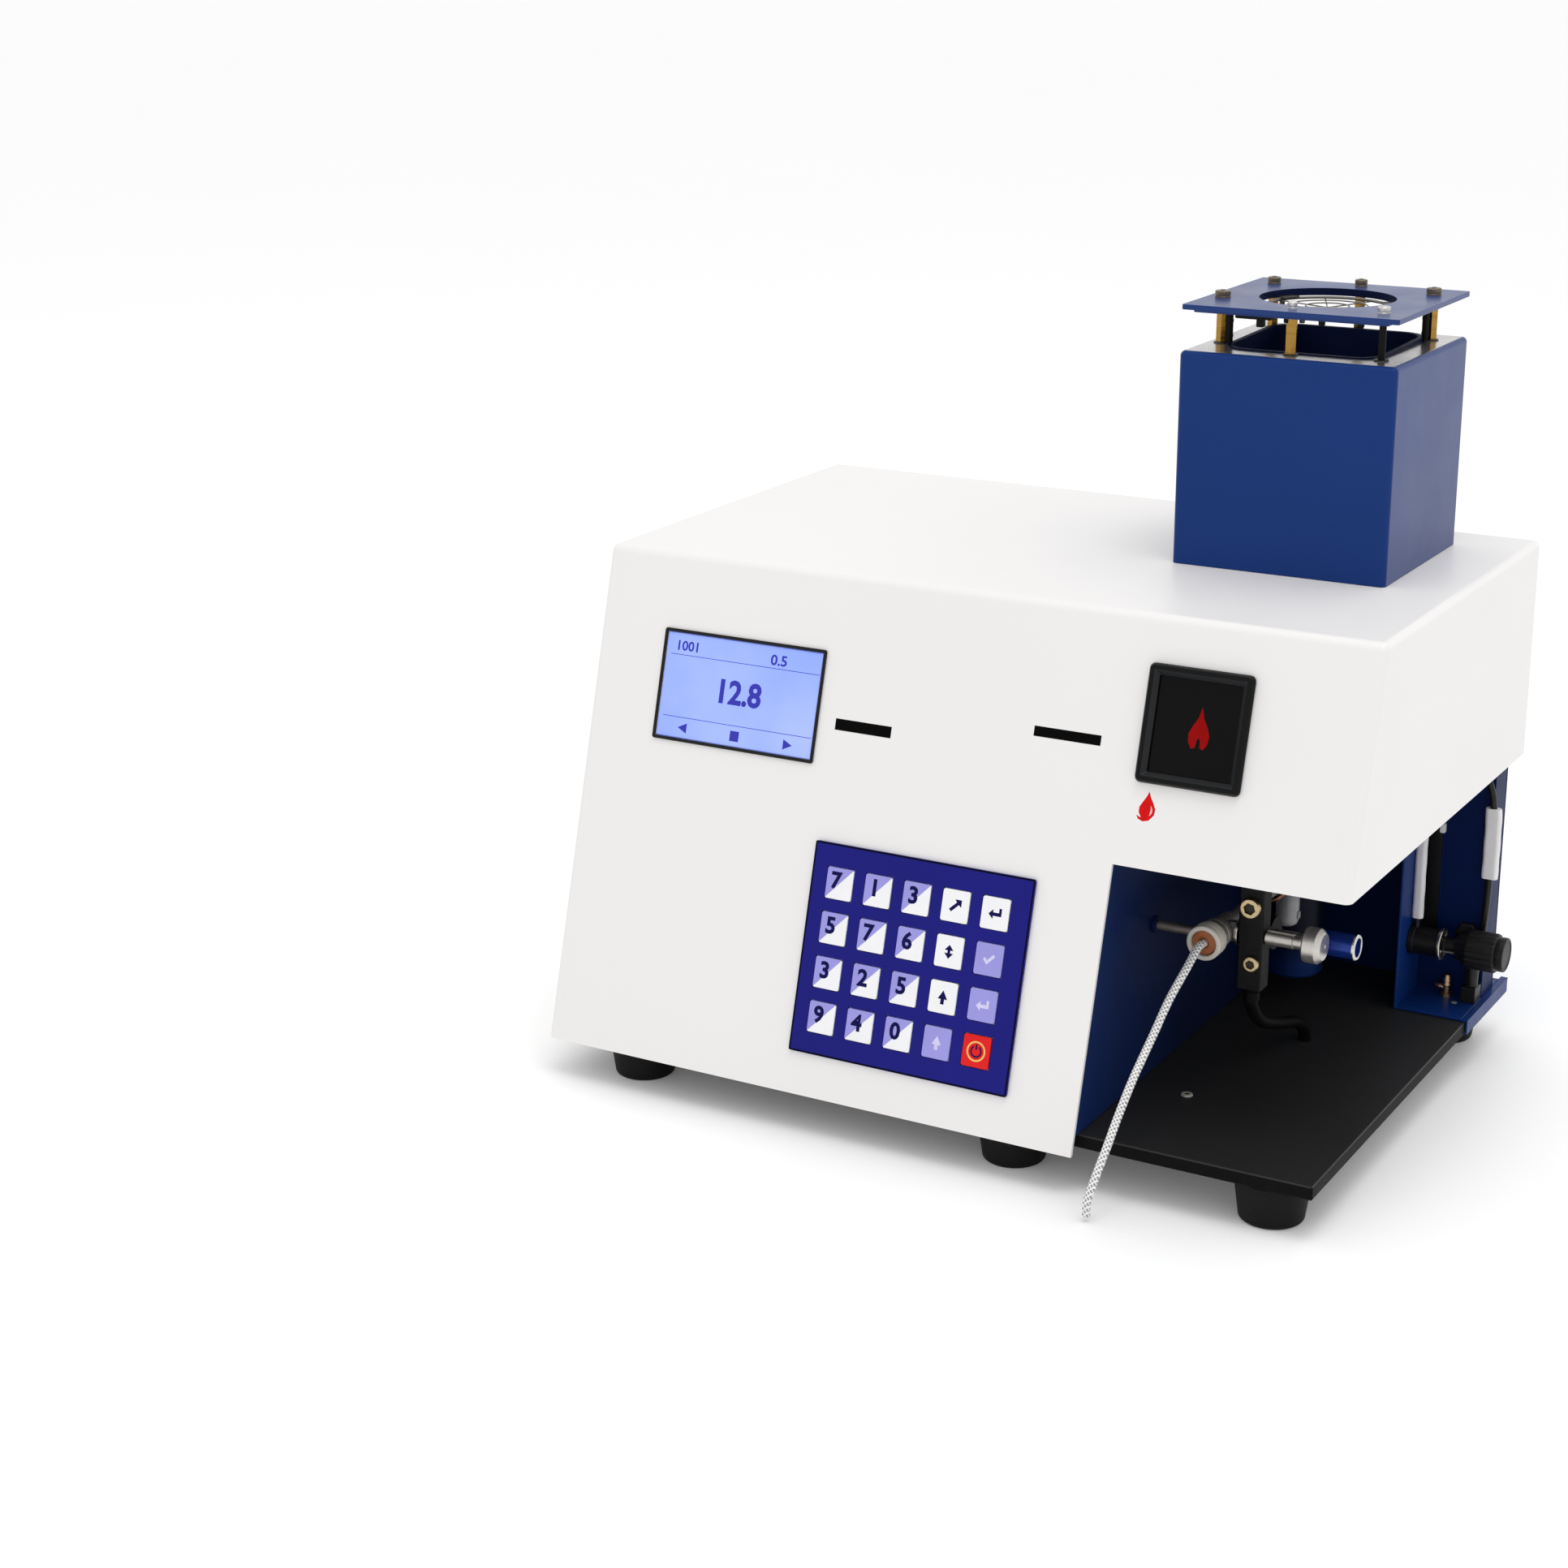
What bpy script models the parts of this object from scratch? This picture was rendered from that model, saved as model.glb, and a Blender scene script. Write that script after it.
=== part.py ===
"""Flame photometer: a sheet-metal case with a sloping panel, an open burner bay and a chimney.

Metres, +Z up, X to the right, Y to the back. The origin lies on the table under the middle of
the outline. Round pieces are modelled along their own Z axis and turned into place.
"""
import math

import bmesh
import bpy
from mathutils import Vector

# General fits and finish
FIT_GAP = 0.0003
OVERRUN = 0.004
MERGE_DISTANCE = 0.000001
ROUND_STEPS = 32
SMALL_STEPS = 20
FOLD_STEPS = 3

# Case and cover
COVER_WIDTH = 0.450
COVER_TOP_DEPTH = 0.253
CASE_HEIGHT = 0.2604
PANEL_TILT = math.radians(15.85)
COVER_SHEET = 0.002
COVER_FOLD_RADIUS = 0.004
COVER_LAP = 0.0019
BAY_WIDTH = 0.1261
HOOD_HEIGHT = 0.1234

# Base plate and feet
BASE_THICKNESS = 0.0075
BASE_EDGE = 0.0008
BASE_FRONT_INSET = 0.0042
BASE_BACK_INSET = 0.0030
FOOT_HEIGHT = 0.0236
FOOT_TOP_RADIUS = 0.0195
FOOT_SOLE_RADIUS = 0.0170
FOOT_ROUNDING = 0.0030
FOOT_COLLAR_HEIGHT = 0.0040
FOOT_LEFT_INSET = 0.046
FOOT_RIGHT_INSET = 0.028
FOOT_BAY_INSET = 0.046
FOOT_FRONT_INSET = 0.0207
FOOT_BACK_INSET = 0.024

# Inner sheets: rear panel and partition
INNER_SHEET = 0.0015
REAR_RECESS = 0.021
REAR_FLANGE = 0.012
VENT_COUNT = 9
VENT_LENGTH = 0.060
VENT_HEIGHT = 0.0030
VENT_PITCH = 0.009
VENT_FROM_BAY = 0.050
VENT_FROM_TOP = 0.040
PARTITION_FLANGE = 0.012
OPTICS_PORT_RADIUS = 0.010

# Display
DISPLAY_WIDTH = 0.1021
DISPLAY_HEIGHT = 0.0614
DISPLAY_LEFT = 0.0433
DISPLAY_DROP = 0.0418
DISPLAY_RIM = 0.0018
DISPLAY_PROUD = 0.0010
DISPLAY_BODY_DEPTH = 0.008
DISPLAY_BODY_MARGIN = 0.004
DISPLAY_CORNER = 0.0012

# Flame window
WINDOW_WIDTH = 0.0564
WINDOW_HEIGHT = 0.0608
WINDOW_LEFT = 0.330
WINDOW_DROP = 0.024
WINDOW_RIM = 0.0060
WINDOW_PROUD = 0.0035
WINDOW_LIP = 0.0012
WINDOW_BEVEL = 0.0024
WINDOW_CORNER = 0.0030
GLASS_THICKNESS = 0.0030
GLASS_MARGIN = 0.0020

# Keypad
KEYPAD_WIDTH = 0.1300
KEYPAD_HEIGHT = 0.1142
KEYPAD_LEFT = 0.1545
KEYPAD_DROP = 0.1429
KEYPAD_THICKNESS = 0.0016
KEYPAD_CORNER = 0.0015
KEY_COLUMNS = 5
KEY_ROWS = 4
KEY_WIDTH = 0.0158
KEY_HEIGHT = 0.0169
KEY_PITCH_ACROSS = 0.0231
KEY_PITCH_DOWN = 0.0242
KEY_MARGIN_LEFT = 0.0096
KEY_MARGIN_TOP = 0.0127
KEY_PROUD = 0.0004
KEY_TRAVEL = 0.0005
KEY_CORNER = 0.0016
KEY_EDGE = 0.0002

# Chimney and its guard
BURNER_FROM_WALL = 0.0273
BURNER_FROM_BACK = 0.0877
CHIMNEY_WIDTH = 0.1194
CHIMNEY_DEPTH = 0.1172
CHIMNEY_HEIGHT = 0.1146
CHIMNEY_SHEET = 0.0015
CHIMNEY_FOLD_RADIUS = 0.0030
CHIMNEY_LIP = 0.0174
CHIMNEY_MOUTH_CORNER = 0.004
CHIMNEY_RIM_HEIGHT = 0.0028
CHIMNEY_RIM_CORNER = CHIMNEY_MOUTH_CORNER + CHIMNEY_SHEET
GUARD_GAP = 0.0215
GUARD_THICKNESS = 0.0028
GUARD_INSET = 0.0005
GUARD_HOLE_RADIUS = 0.036
# Each row: share of the guard plate's width, of its depth
PILLAR_PLACE_SHARES = ((0.10, 0.20), (0.50, 0.06), (0.90, 0.20), (0.90, 0.80), (0.50, 0.94), (0.10, 0.80))
PILLAR_RADIUS = 0.0030
PILLAR_NUT_RADIUS = 0.0045
PILLAR_NUT_HEIGHT = 0.0030
PILLAR_TIP_RADIUS = 0.0020
PILLAR_TIP_HEIGHT = 0.0012
WIRE_RING_RADIUS = 0.0325
WIRE_SIZE = 0.0012
WIRE_COUNT = 7
WIRE_PITCH = 0.009
CLIP_COUNT = 3
CLIP_WIDTH = 0.008
CLIP_REACH = 0.0085

# Burner train inside the bay
DECK_ABOVE_HOOD_EDGE = 0.0015
DECK_RIGHT_INSET = 0.045
DECK_FRONT_FROM_BURNER = 0.150
DECK_FLANGE = 0.012
CHAMBER_RADIUS = 0.016
CHAMBER_ABOVE_BASE = 0.0165
CHAMBER_FLANGE_RADIUS = 0.021
CHAMBER_FLANGE_HEIGHT = 0.004
CHAMBER_RIM = 0.0015
BOSS_RADIUS = 0.0075
BOSS_LENGTH = 0.010
BURNER_STEM_RADIUS = 0.009
BURNER_HEAD_RADIUS = 0.014
BURNER_HEAD_HEIGHT = 0.012
BURNER_PORT_DEPTH = 0.003
BURNER_BELOW_VIEW = 0.026
FLUE_CLEARANCE = 0.0030
FLAME_SHIELD_WALL = 0.0012
VIEW_SLOT_WIDTH = 0.030
VIEW_SLOT_HEIGHT = 0.044

# Nebuliser and its adjusting collar
NEBULISER_FROM_WALL = 0.0338
NEBULISER_ABOVE_BASE = 0.0857
NEBULISER_FRONT_FROM_BURNER = 0.1573
COLLAR_RADIUS = 0.0095
COLLAR_LENGTH = 0.010
COLLAR_BORE_RADIUS = 0.0068
COLLAR_EDGE = 0.0010
SEAL_RECESS = 0.0012
SEAL_LENGTH = 0.0035
NEBULISER_BODY_RADIUS = 0.0085
NEBULISER_BODY_LENGTH = 0.026
NEBULISER_NECK_RADIUS = 0.0045
NEBULISER_NUT_SIZE = 0.0055
AIR_PIPE_RADIUS = 0.0027
AIR_PIPE_FLANGE_RADIUS = 0.0045
AIR_PIPE_FLANGE_LENGTH = 0.0020
AIR_PIPE_SETBACK = 0.0050

# Valve block, fuel valve and igniter
BLOCK_FROM_WALL = 0.0450
BLOCK_WIDTH = 0.0136
BLOCK_DEPTH = 0.0120
BLOCK_SETBACK = 0.020
BLOCK_DROP = 0.0300
BLOCK_EDGE = 0.0008
VALVE_STEM_RADIUS = 0.0040
VALVE_STEM_LENGTH = 0.0227
SPINDLE_RADIUS = 0.0022
VALVE_KNOB_RADIUS = 0.0095
VALVE_KNOB_LENGTH = 0.0085
VALVE_KNOB_BEVEL = 0.0025
VALVE_KNOB_RIBS = 24
VALVE_KNOB_RIB_DEPTH = 0.0003
KNOB_DIMPLE_RADIUS = 0.0025
KNOB_DIMPLE_DEPTH = 0.0015
GRIP_WEB = 0.0015
REAR_VALVE_SETBACK = 0.0165
REAR_VALVE_DROP = 0.0035
REAR_VALVE_RADIUS = 0.0092
REAR_NECK_HEIGHT = 0.012
GRIP_START = 0.0240
VALVE_GRIP_RADIUS = 0.0065
VALVE_GRIP_LENGTH = 0.0203
GRIP_SOCKET_RADIUS = 0.0050
GRIP_SOCKET_DEPTH = 0.0040
GRIP_RING_RADIUS = 0.0070
GRIP_RING_LENGTH = 0.0028
IGNITER_FROM_WALL = 0.0510
IGNITER_SETBACK = 0.077
IGNITER_RADIUS = 0.0063
IGNITER_ABOVE_BASE = 0.0745
IGNITER_FLANGE_RADIUS = 0.009
IGNITER_FLANGE_HEIGHT = 0.003

# Waste tube, from the block down to a hole in the base plate
WASTE_TUBE_RADIUS = 0.0035
WASTE_TUBE_SINK = 0.0030
WASTE_HOLE_FROM_WALL = 0.056
WASTE_HOLE_SETBACK = 0.100
# Each row: share of the fall, of the way across to the hole
WASTE_ROUTE_SHARES = ((0.15, 0.00), (0.42, 0.20), (0.62, 0.58), (0.78, 0.94), (0.92, 1.00))

# Control box at the back of the bay
BOX_WIDTH = 0.042
BOX_SHEET = 0.0015
BOX_DEPTH = 0.037
BOX_LAP = 0.011
BOX_STRIP_LENGTH = 0.0185

# Air regulator in the control box
REGULATOR_SETBACK = 0.020
REGULATOR_ABOVE_BASE = 0.0365
REGULATOR_BODY_RADIUS = 0.0080
REGULATOR_BODY_LENGTH = 0.0170
REGULATOR_RING_RADIUS = 0.0090
REGULATOR_RING_LENGTH = 0.0030
REGULATOR_NECK_RADIUS = 0.0045
KNOB_REACH = 0.0150
KNOB_LENGTH = 0.0285
KNOB_RADIUS = 0.0112
KNOB_NECK_RADIUS = 0.0070
KNOB_TAPER_LENGTH = 0.0070
KNOB_CAP_RADIUS = 0.0098
KNOB_CAP_LENGTH = 0.0040
KNOB_EDGE = 0.0010
KNOB_RIBS = 20
KNOB_RIB_DEPTH = 0.0005
KNOB_BORE_DEPTH = 0.018

# Optics and electronics inside the left compartment
OPTICS_LENGTH = 0.085
OPTICS_FLANGE_RADIUS = 0.022
OPTICS_FLANGE_LENGTH = 0.004
OPTICS_TUBE_RADIUS = 0.015
DETECTOR_RADIUS = 0.020
DETECTOR_LENGTH = 0.028
BOARD_WIDTH = 0.180
BOARD_DEPTH = 0.120
BOARD_THICKNESS = 0.0016
BOARD_LIFT = 0.010
BOARD_LEFT_INSET = 0.030
BOARD_FRONT_INSET = 0.030
BOARD_POST_RADIUS = 0.004
BOARD_POST_INSET = 0.008
CHIP_SIDE = 0.016
CHIP_HEIGHT = 0.004
HEADER_LENGTH = 0.050
HEADER_WIDTH = 0.009
HEADER_HEIGHT = 0.010
CHIP_ACROSS_SHARES = (0.25, 0.50, 0.72)
CHIP_BACK_SHARE = 0.60
HEADER_BACK_SHARE = 0.15
TRANSFORMER_WIDTH = 0.066
TRANSFORMER_DEPTH = 0.055
TRANSFORMER_HEIGHT = 0.054
TRANSFORMER_FOOT = 0.010
TRANSFORMER_FOOT_THICKNESS = 0.002
TRANSFORMER_COIL_BULGE = 0.008
TRANSFORMER_COIL_MARGIN = 0.012
TRANSFORMER_EDGE = 0.001
TRANSFORMER_LEFT_INSET = 0.050
TRANSFORMER_BACK_INSET = 0.040

# Mains inlet on the rear panel
INLET_WIDTH = 0.0310
INLET_HEIGHT = 0.0470
INLET_FLANGE_THICKNESS = 0.0030
INLET_BODY_WIDTH = 0.0270
INLET_BODY_HEIGHT = 0.0400
INLET_BODY_DEPTH = 0.0240
INLET_SOCKET_WIDTH = 0.0240
INLET_SOCKET_HEIGHT = 0.0165
INLET_SOCKET_DEPTH = 0.0160
INLET_SOCKET_CORNER = 0.0045
INLET_SOCKET_RISE = 0.0090
INLET_DRAWER_WIDTH = 0.0220
INLET_DRAWER_HEIGHT = 0.0110
INLET_DRAWER_PROUD = 0.0015
INLET_DRAWER_DROP = 0.0120
INLET_CORNER = 0.0025
INLET_LEFT_INSET = 0.072
INLET_ABOVE_BASE = 0.060

# Sample tube: how it hangs from the nebuliser down to the table in front of the case
SAMPLE_TUBE_RADIUS = 0.0025
SAMPLE_TUBE_SPACING = 0.006
SAMPLE_TUBE_SWAY = 0.015
SAMPLE_TUBE_REACH = 0.1065
# Each row: share of the sway to the right, of the reach forward, of the nebuliser's height
SAMPLE_TUBE_ROUTE_SHARES = (
    (0.00, 0.070, 1.000),
    (0.02, 0.169, 0.945),
    (-0.08, 0.310, 0.830),
    (-0.16, 0.451, 0.702),
    (-0.22, 0.638, 0.565),
    (-0.32, 0.779, 0.440),
    (-0.48, 0.900, 0.318),
    (-0.75, 0.967, 0.199),
    (-0.96, 0.995, 0.098),
    (-0.97, 1.000, 0.028),
)

# Places that follow from the sizes above
base_bottom = FOOT_HEIGHT
base_top = base_bottom + BASE_THICKNESS
cover_top = base_top + CASE_HEIGHT
cover_low = base_bottom - COVER_LAP
panel_lean = (cover_top - cover_low) * math.tan(PANEL_TILT)
cover_left = -(COVER_WIDTH + KNOB_REACH) / 2
cover_right = cover_left + COVER_WIDTH
cover_front = -(COVER_TOP_DEPTH + panel_lean) / 2
panel_top_y = cover_front + panel_lean
cover_back = panel_top_y + COVER_TOP_DEPTH
bay_left = cover_right - BAY_WIDTH
hood_edge = cover_top - HOOD_HEIGHT
inside_left = cover_left + COVER_SHEET + FIT_GAP
inside_right = cover_right - COVER_SHEET - FIT_GAP
inside_top = cover_top - COVER_SHEET - FIT_GAP
inner_fold = COVER_FOLD_RADIUS - COVER_SHEET
on_base = base_top + FIT_GAP
sheet_slant = COVER_SHEET / math.cos(PANEL_TILT)
base_front = panel_top_y - (cover_top - base_top) * math.tan(PANEL_TILT) + sheet_slant + BASE_FRONT_INSET
base_back = cover_back - BASE_BACK_INSET
rear_panel_back = cover_back - REAR_RECESS
rear_panel_front = rear_panel_back - INNER_SHEET
burner_x = bay_left + BURNER_FROM_WALL
burner_y = cover_back - BURNER_FROM_BACK
window_centre_drop = WINDOW_DROP + WINDOW_HEIGHT / 2
view_height = cover_top - window_centre_drop * math.cos(PANEL_TILT)
shield_radius = BURNER_FROM_WALL - FLUE_CLEARANCE
nebuliser_x = bay_left + NEBULISER_FROM_WALL
nebuliser_y = burner_y - NEBULISER_FRONT_FROM_BURNER
nebuliser_z = base_top + NEBULISER_ABOVE_BASE
deck_low = hood_edge + DECK_ABOVE_HOOD_EDGE
block_left = bay_left + BLOCK_FROM_WALL
block_right = block_left + BLOCK_WIDTH
block_front = nebuliser_y + BLOCK_SETBACK
block_y = block_front + BLOCK_DEPTH / 2
block_low = nebuliser_z - BLOCK_DROP
rear_valve_y = block_y + REAR_VALVE_SETBACK
rear_valve_z = nebuliser_z - REAR_VALVE_DROP
box_right = inside_right
box_left = cover_right - BOX_WIDTH
box_back_wall = rear_panel_front - FIT_GAP - BOX_STRIP_LENGTH
box_front = box_back_wall - BOX_DEPTH
regulator_y = box_front + REGULATOR_SETBACK
regulator_z = base_top + REGULATOR_ABOVE_BASE
knob_left = cover_right + KNOB_REACH - KNOB_LENGTH
chimney_low = cover_top + FIT_GAP
chimney_top = chimney_low + CHIMNEY_HEIGHT
guard_low = chimney_top + GUARD_GAP
guard_top = guard_low + GUARD_THICKNESS

# Colours, roughness and metal share of each finish
WHITE_PAINT = ((0.83, 0.82, 0.80), 0.45, 0.0)
BLUE_PAINT = ((0.020, 0.055, 0.26), 0.42, 0.0)
BLACK_PAINT = ((0.012, 0.012, 0.013), 0.35, 0.0)
BLACK_RUBBER = ((0.010, 0.010, 0.010), 0.75, 0.0)
BLACK_PLASTIC = ((0.015, 0.015, 0.016), 0.40, 0.0)
DARK_GLASS = ((0.010, 0.010, 0.012), 0.06, 0.0)
LIT_SCREEN = ((0.36, 0.47, 1.00), 0.20, 0.0)
KEYPAD_BLUE = ((0.014, 0.014, 0.22), 0.38, 0.0)
KEY_WHITE = ((0.80, 0.80, 0.86), 0.40, 0.0)
BRASS = ((0.62, 0.42, 0.14), 0.28, 1.0)
NICKEL = ((0.66, 0.64, 0.60), 0.25, 1.0)
STEEL = ((0.56, 0.56, 0.56), 0.30, 1.0)
CREAM_PLASTIC = ((0.62, 0.58, 0.50), 0.40, 0.0)
ORANGE_SEAL = ((0.42, 0.13, 0.03), 0.50, 0.0)
CERAMIC = ((0.55, 0.55, 0.56), 0.35, 0.0)
BLUE_ANODISED = ((0.020, 0.060, 0.36), 0.30, 0.7)
BOARD_GREEN = ((0.010, 0.110, 0.040), 0.50, 0.0)
IRON_CORE = ((0.09, 0.08, 0.08), 0.55, 0.6)
CLEAR_TUBE = ((0.72, 0.76, 0.80), 0.25, 0.0)

ALONG_X = (0, math.radians(90), 0)
ALONG_MINUS_X = (0, math.radians(-90), 0)
ALONG_MINUS_Y = (math.radians(90), 0, 0)
UPRIGHT = (0, 0, 0)


def clear_scene():
    """Start from an empty scene."""
    for thing in list(bpy.data.objects):
        bpy.data.objects.remove(thing)


def add_to_scene(thing, place, turn, parent):
    """Link an object and set where it stands."""
    bpy.context.scene.collection.objects.link(thing)
    thing.location = place
    thing.rotation_euler = turn
    thing.parent = parent
    return thing


def material_for(name, finish):
    """Principled material of one piece."""
    colour, roughness, metal = finish
    material = bpy.data.materials.new(name + "_finish")
    material.use_nodes = True
    shader = material.node_tree.nodes["Principled BSDF"]
    shader.inputs["Base Color"].default_value = (*colour, 1)
    shader.inputs["Roughness"].default_value = roughness
    shader.inputs["Metallic"].default_value = metal
    return material


def mesh_from(name, shape, finish, smooth=False):
    """Turn a finished bmesh into a mesh with its material."""
    bmesh.ops.recalc_face_normals(shape, faces=shape.faces)
    mesh = bpy.data.meshes.new(name)
    shape.to_mesh(mesh)
    shape.free()
    mesh.materials.append(material_for(name, finish))
    if smooth:
        mesh.shade_smooth()
        mesh.set_sharp_from_angle(angle=math.radians(35))
    return mesh


def piece(name, shape, finish, place=(0, 0, 0), turn=UPRIGHT, parent=None, smooth=False):
    """One named solid of the instrument."""
    mesh = mesh_from(name, shape, finish, smooth)
    return add_to_scene(bpy.data.objects.new(name, mesh), place, turn, parent)


def shape_tool(target, operation, label, shape, place=(0, 0, 0), turn=UPRIGHT, parent=None):
    """Join a hidden shape to a piece, or cut it away."""
    bmesh.ops.recalc_face_normals(shape, faces=shape.faces)
    mesh = bpy.data.meshes.new(label)
    shape.to_mesh(mesh)
    shape.free()
    tool = add_to_scene(bpy.data.objects.new(target.name + "_" + label, mesh), place, turn, parent)
    tool.hide_render = True
    tool.display_type = "WIRE"
    modifier = target.modifiers.new(label, "BOOLEAN")
    modifier.operation = operation
    modifier.solver = "EXACT"
    modifier.object = tool
    return tool


def cut(target, label, shape, **where):
    """Take a shape away from a piece."""
    return shape_tool(target, "DIFFERENCE", label, shape, **where)


def join(target, label, shape, **where):
    """Weld a shape onto a piece."""
    return shape_tool(target, "UNION", label, shape, **where)


def block(low, high, shape=None):
    """Box between two corners, on its own or added to a shape."""
    shape = shape or bmesh.new()
    low, high = Vector(low), Vector(high)
    made = bmesh.ops.create_cube(shape, size=1)
    bmesh.ops.scale(shape, verts=made["verts"], vec=high - low)
    bmesh.ops.translate(shape, verts=made["verts"], vec=(low + high) / 2)
    return shape


def extruded(outline, start, end, axis="Z"):
    """Closed outline pushed from start to end along one axis."""
    shape = bmesh.new()
    put = {
        "X": lambda a, b, along: (along, a, b),
        "Y": lambda a, b, along: (a, along, b),
        "Z": lambda a, b, along: (a, b, along),
    }[axis]
    corners = [shape.verts.new(put(a, b, start)) for a, b in outline]
    face = shape.faces.new(corners)
    grown = bmesh.ops.extrude_face_region(shape, geom=[face])
    moved = [item for item in grown["geom"] if isinstance(item, bmesh.types.BMVert)]
    bmesh.ops.translate(shape, verts=moved, vec=put(0, 0, end - start))
    return shape


def turned(profile, steps=ROUND_STEPS, ring=False, shape=None, centre=(0, 0)):
    """Spin (radius, height) points about Z. A ring's profile closes on itself."""
    shape = shape or bmesh.new()
    middle = Vector((*centre, 0))
    points = [shape.verts.new(middle + Vector((radius, 0, height))) for radius, height in profile]
    pairs = list(zip(points, points[1:]))
    if ring:
        pairs.append((points[-1], points[0]))
    edges = [shape.edges.new(pair) for pair in pairs]
    bmesh.ops.spin(
        shape, geom=points + edges, cent=middle, axis=(0, 0, 1), angle=math.tau, steps=steps, use_merge=True
    )
    bmesh.ops.remove_doubles(shape, verts=shape.verts, dist=MERGE_DISTANCE)
    return shape


def rod(radius, low, high, steps=SMALL_STEPS, shape=None, centre=(0, 0)):
    """Plain round bar along Z."""
    profile = [(0, low), (radius, low), (radius, high), (0, high)]
    return turned(profile, steps, shape=shape, centre=centre)


def lofted(rings):
    """Skin closed rings of equal point count and cap both ends."""
    shape = bmesh.new()
    loops = [[shape.verts.new(point) for point in ring] for ring in rings]
    for lower, upper in zip(loops, loops[1:]):
        count = len(lower)
        for index in range(count):
            following = (index + 1) % count
            shape.faces.new((lower[index], lower[following], upper[following], upper[index]))
    shape.faces.new(list(reversed(loops[0])))
    shape.faces.new(loops[-1])
    return shape


def ribbed_ring(radius, depth, ribs, height):
    """Ring of points with shallow grip ribs, four points to a rib."""
    points = []
    for index in range(ribs * 4):
        angle = math.tau * index / (ribs * 4)
        reach = radius if index % 4 < 2 else radius - depth
        points.append((reach * math.cos(angle), reach * math.sin(angle), height))
    return points


def arc(centre, radius, start, end, steps):
    """Points (a, b) along an arc, angles in degrees."""
    points = []
    for step in range(steps + 1):
        angle = math.radians(start + (end - start) * step / steps)
        points.append((centre[0] + radius * math.cos(angle), centre[1] + radius * math.sin(angle)))
    return points


def rounded_rectangle(left, low, right, high, radius, steps=FOLD_STEPS):
    """Rectangle outline with rounded corners."""
    return (
        arc((right - radius, low + radius), radius, -90, 0, steps)
        + arc((right - radius, high - radius), radius, 0, 90, steps)
        + arc((left + radius, high - radius), radius, 90, 180, steps)
        + arc((left + radius, low + radius), radius, 180, 270, steps)
    )


def round_edges(shape, chosen, radius, steps=FOLD_STEPS):
    """Roll over the edges that a test picks."""
    edges = [edge for edge in shape.edges if chosen(edge)]
    bmesh.ops.bevel(shape, geom=edges, offset=radius, segments=steps, profile=0.5, affect="EDGES")
    return shape


def soften(target, width, steps=1):
    """Break the sharp edges of a piece."""
    modifier = target.modifiers.new("edge", "BEVEL")
    modifier.width = width
    modifier.segments = steps
    modifier.limit_method = "ANGLE"
    modifier.angle_limit = math.radians(40)
    modifier.harden_normals = False
    return modifier


def panel_y(height):
    """Outer face of the sloping panel at a height."""
    return panel_top_y - (cover_top - height) * math.tan(PANEL_TILT)


def panel_back_y(height):
    """Inner face of the sloping panel at a height."""
    return panel_y(height) + sheet_slant


def smooth_route(points, spacing):
    """Even points along a smooth curve through the given ones."""
    knots = [Vector(point) for point in points]
    ends = [2 * knots[0] - knots[1]] + knots + [2 * knots[-1] - knots[-2]]
    route = [knots[0]]
    for before, start, end, after in zip(ends, ends[1:], ends[2:], ends[3:]):
        steps = max(1, round((end - start).length / spacing))
        for step in range(1, steps + 1):
            share = step / steps
            bend = (2 * before - 5 * start + 4 * end - after) * share**2
            twist = (3 * start - before - 3 * end + after) * share**3
            route.append((2 * start + (end - before) * share + bend + twist) / 2)
    return route


def tube(name, route, radius, finish):
    """Hose along a route of points."""
    curve = bpy.data.curves.new(name, "CURVE")
    curve.dimensions = "3D"
    curve.bevel_depth = radius
    curve.bevel_resolution = 2
    curve.use_fill_caps = True
    spline = curve.splines.new("POLY")
    spline.points.add(len(route) - 1)
    for knot, point in zip(spline.points, route):
        knot.co = (*point, 1)
    curve.materials.append(material_for(name, finish))
    return add_to_scene(bpy.data.objects.new(name, curve), (0, 0, 0), UPRIGHT, None)


def sloping_frame():
    """Empty on the panel's upper left corner: X across, Y up the slope, Z out of the panel."""
    frame = bpy.data.objects.new("panel_frame", None)
    tilt = (math.radians(90) - PANEL_TILT, 0, 0)
    return add_to_scene(frame, (cover_left, panel_top_y, cover_top), tilt, None)


def case_side(inset, low, back):
    """Side view of the case as (y, z), drawn in by a wall thickness."""
    top = cover_top - inset
    step_back = inset / math.cos(PANEL_TILT)
    return [(panel_y(low) + step_back, low), (panel_y(top) + step_back, top), (back, top), (back, low)]


def folded(shape, low, back, radius):
    """Round the folds of the case and leave its open mouths sharp."""

    def is_fold(edge):
        ends = [vert.co for vert in edge.verts]
        at_mouth = all(end.z < low + MERGE_DISTANCE for end in ends)
        at_back = all(end.y > back - MERGE_DISTANCE for end in ends)
        return not at_mouth and not at_back

    return round_edges(shape, is_fold, radius)


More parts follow.
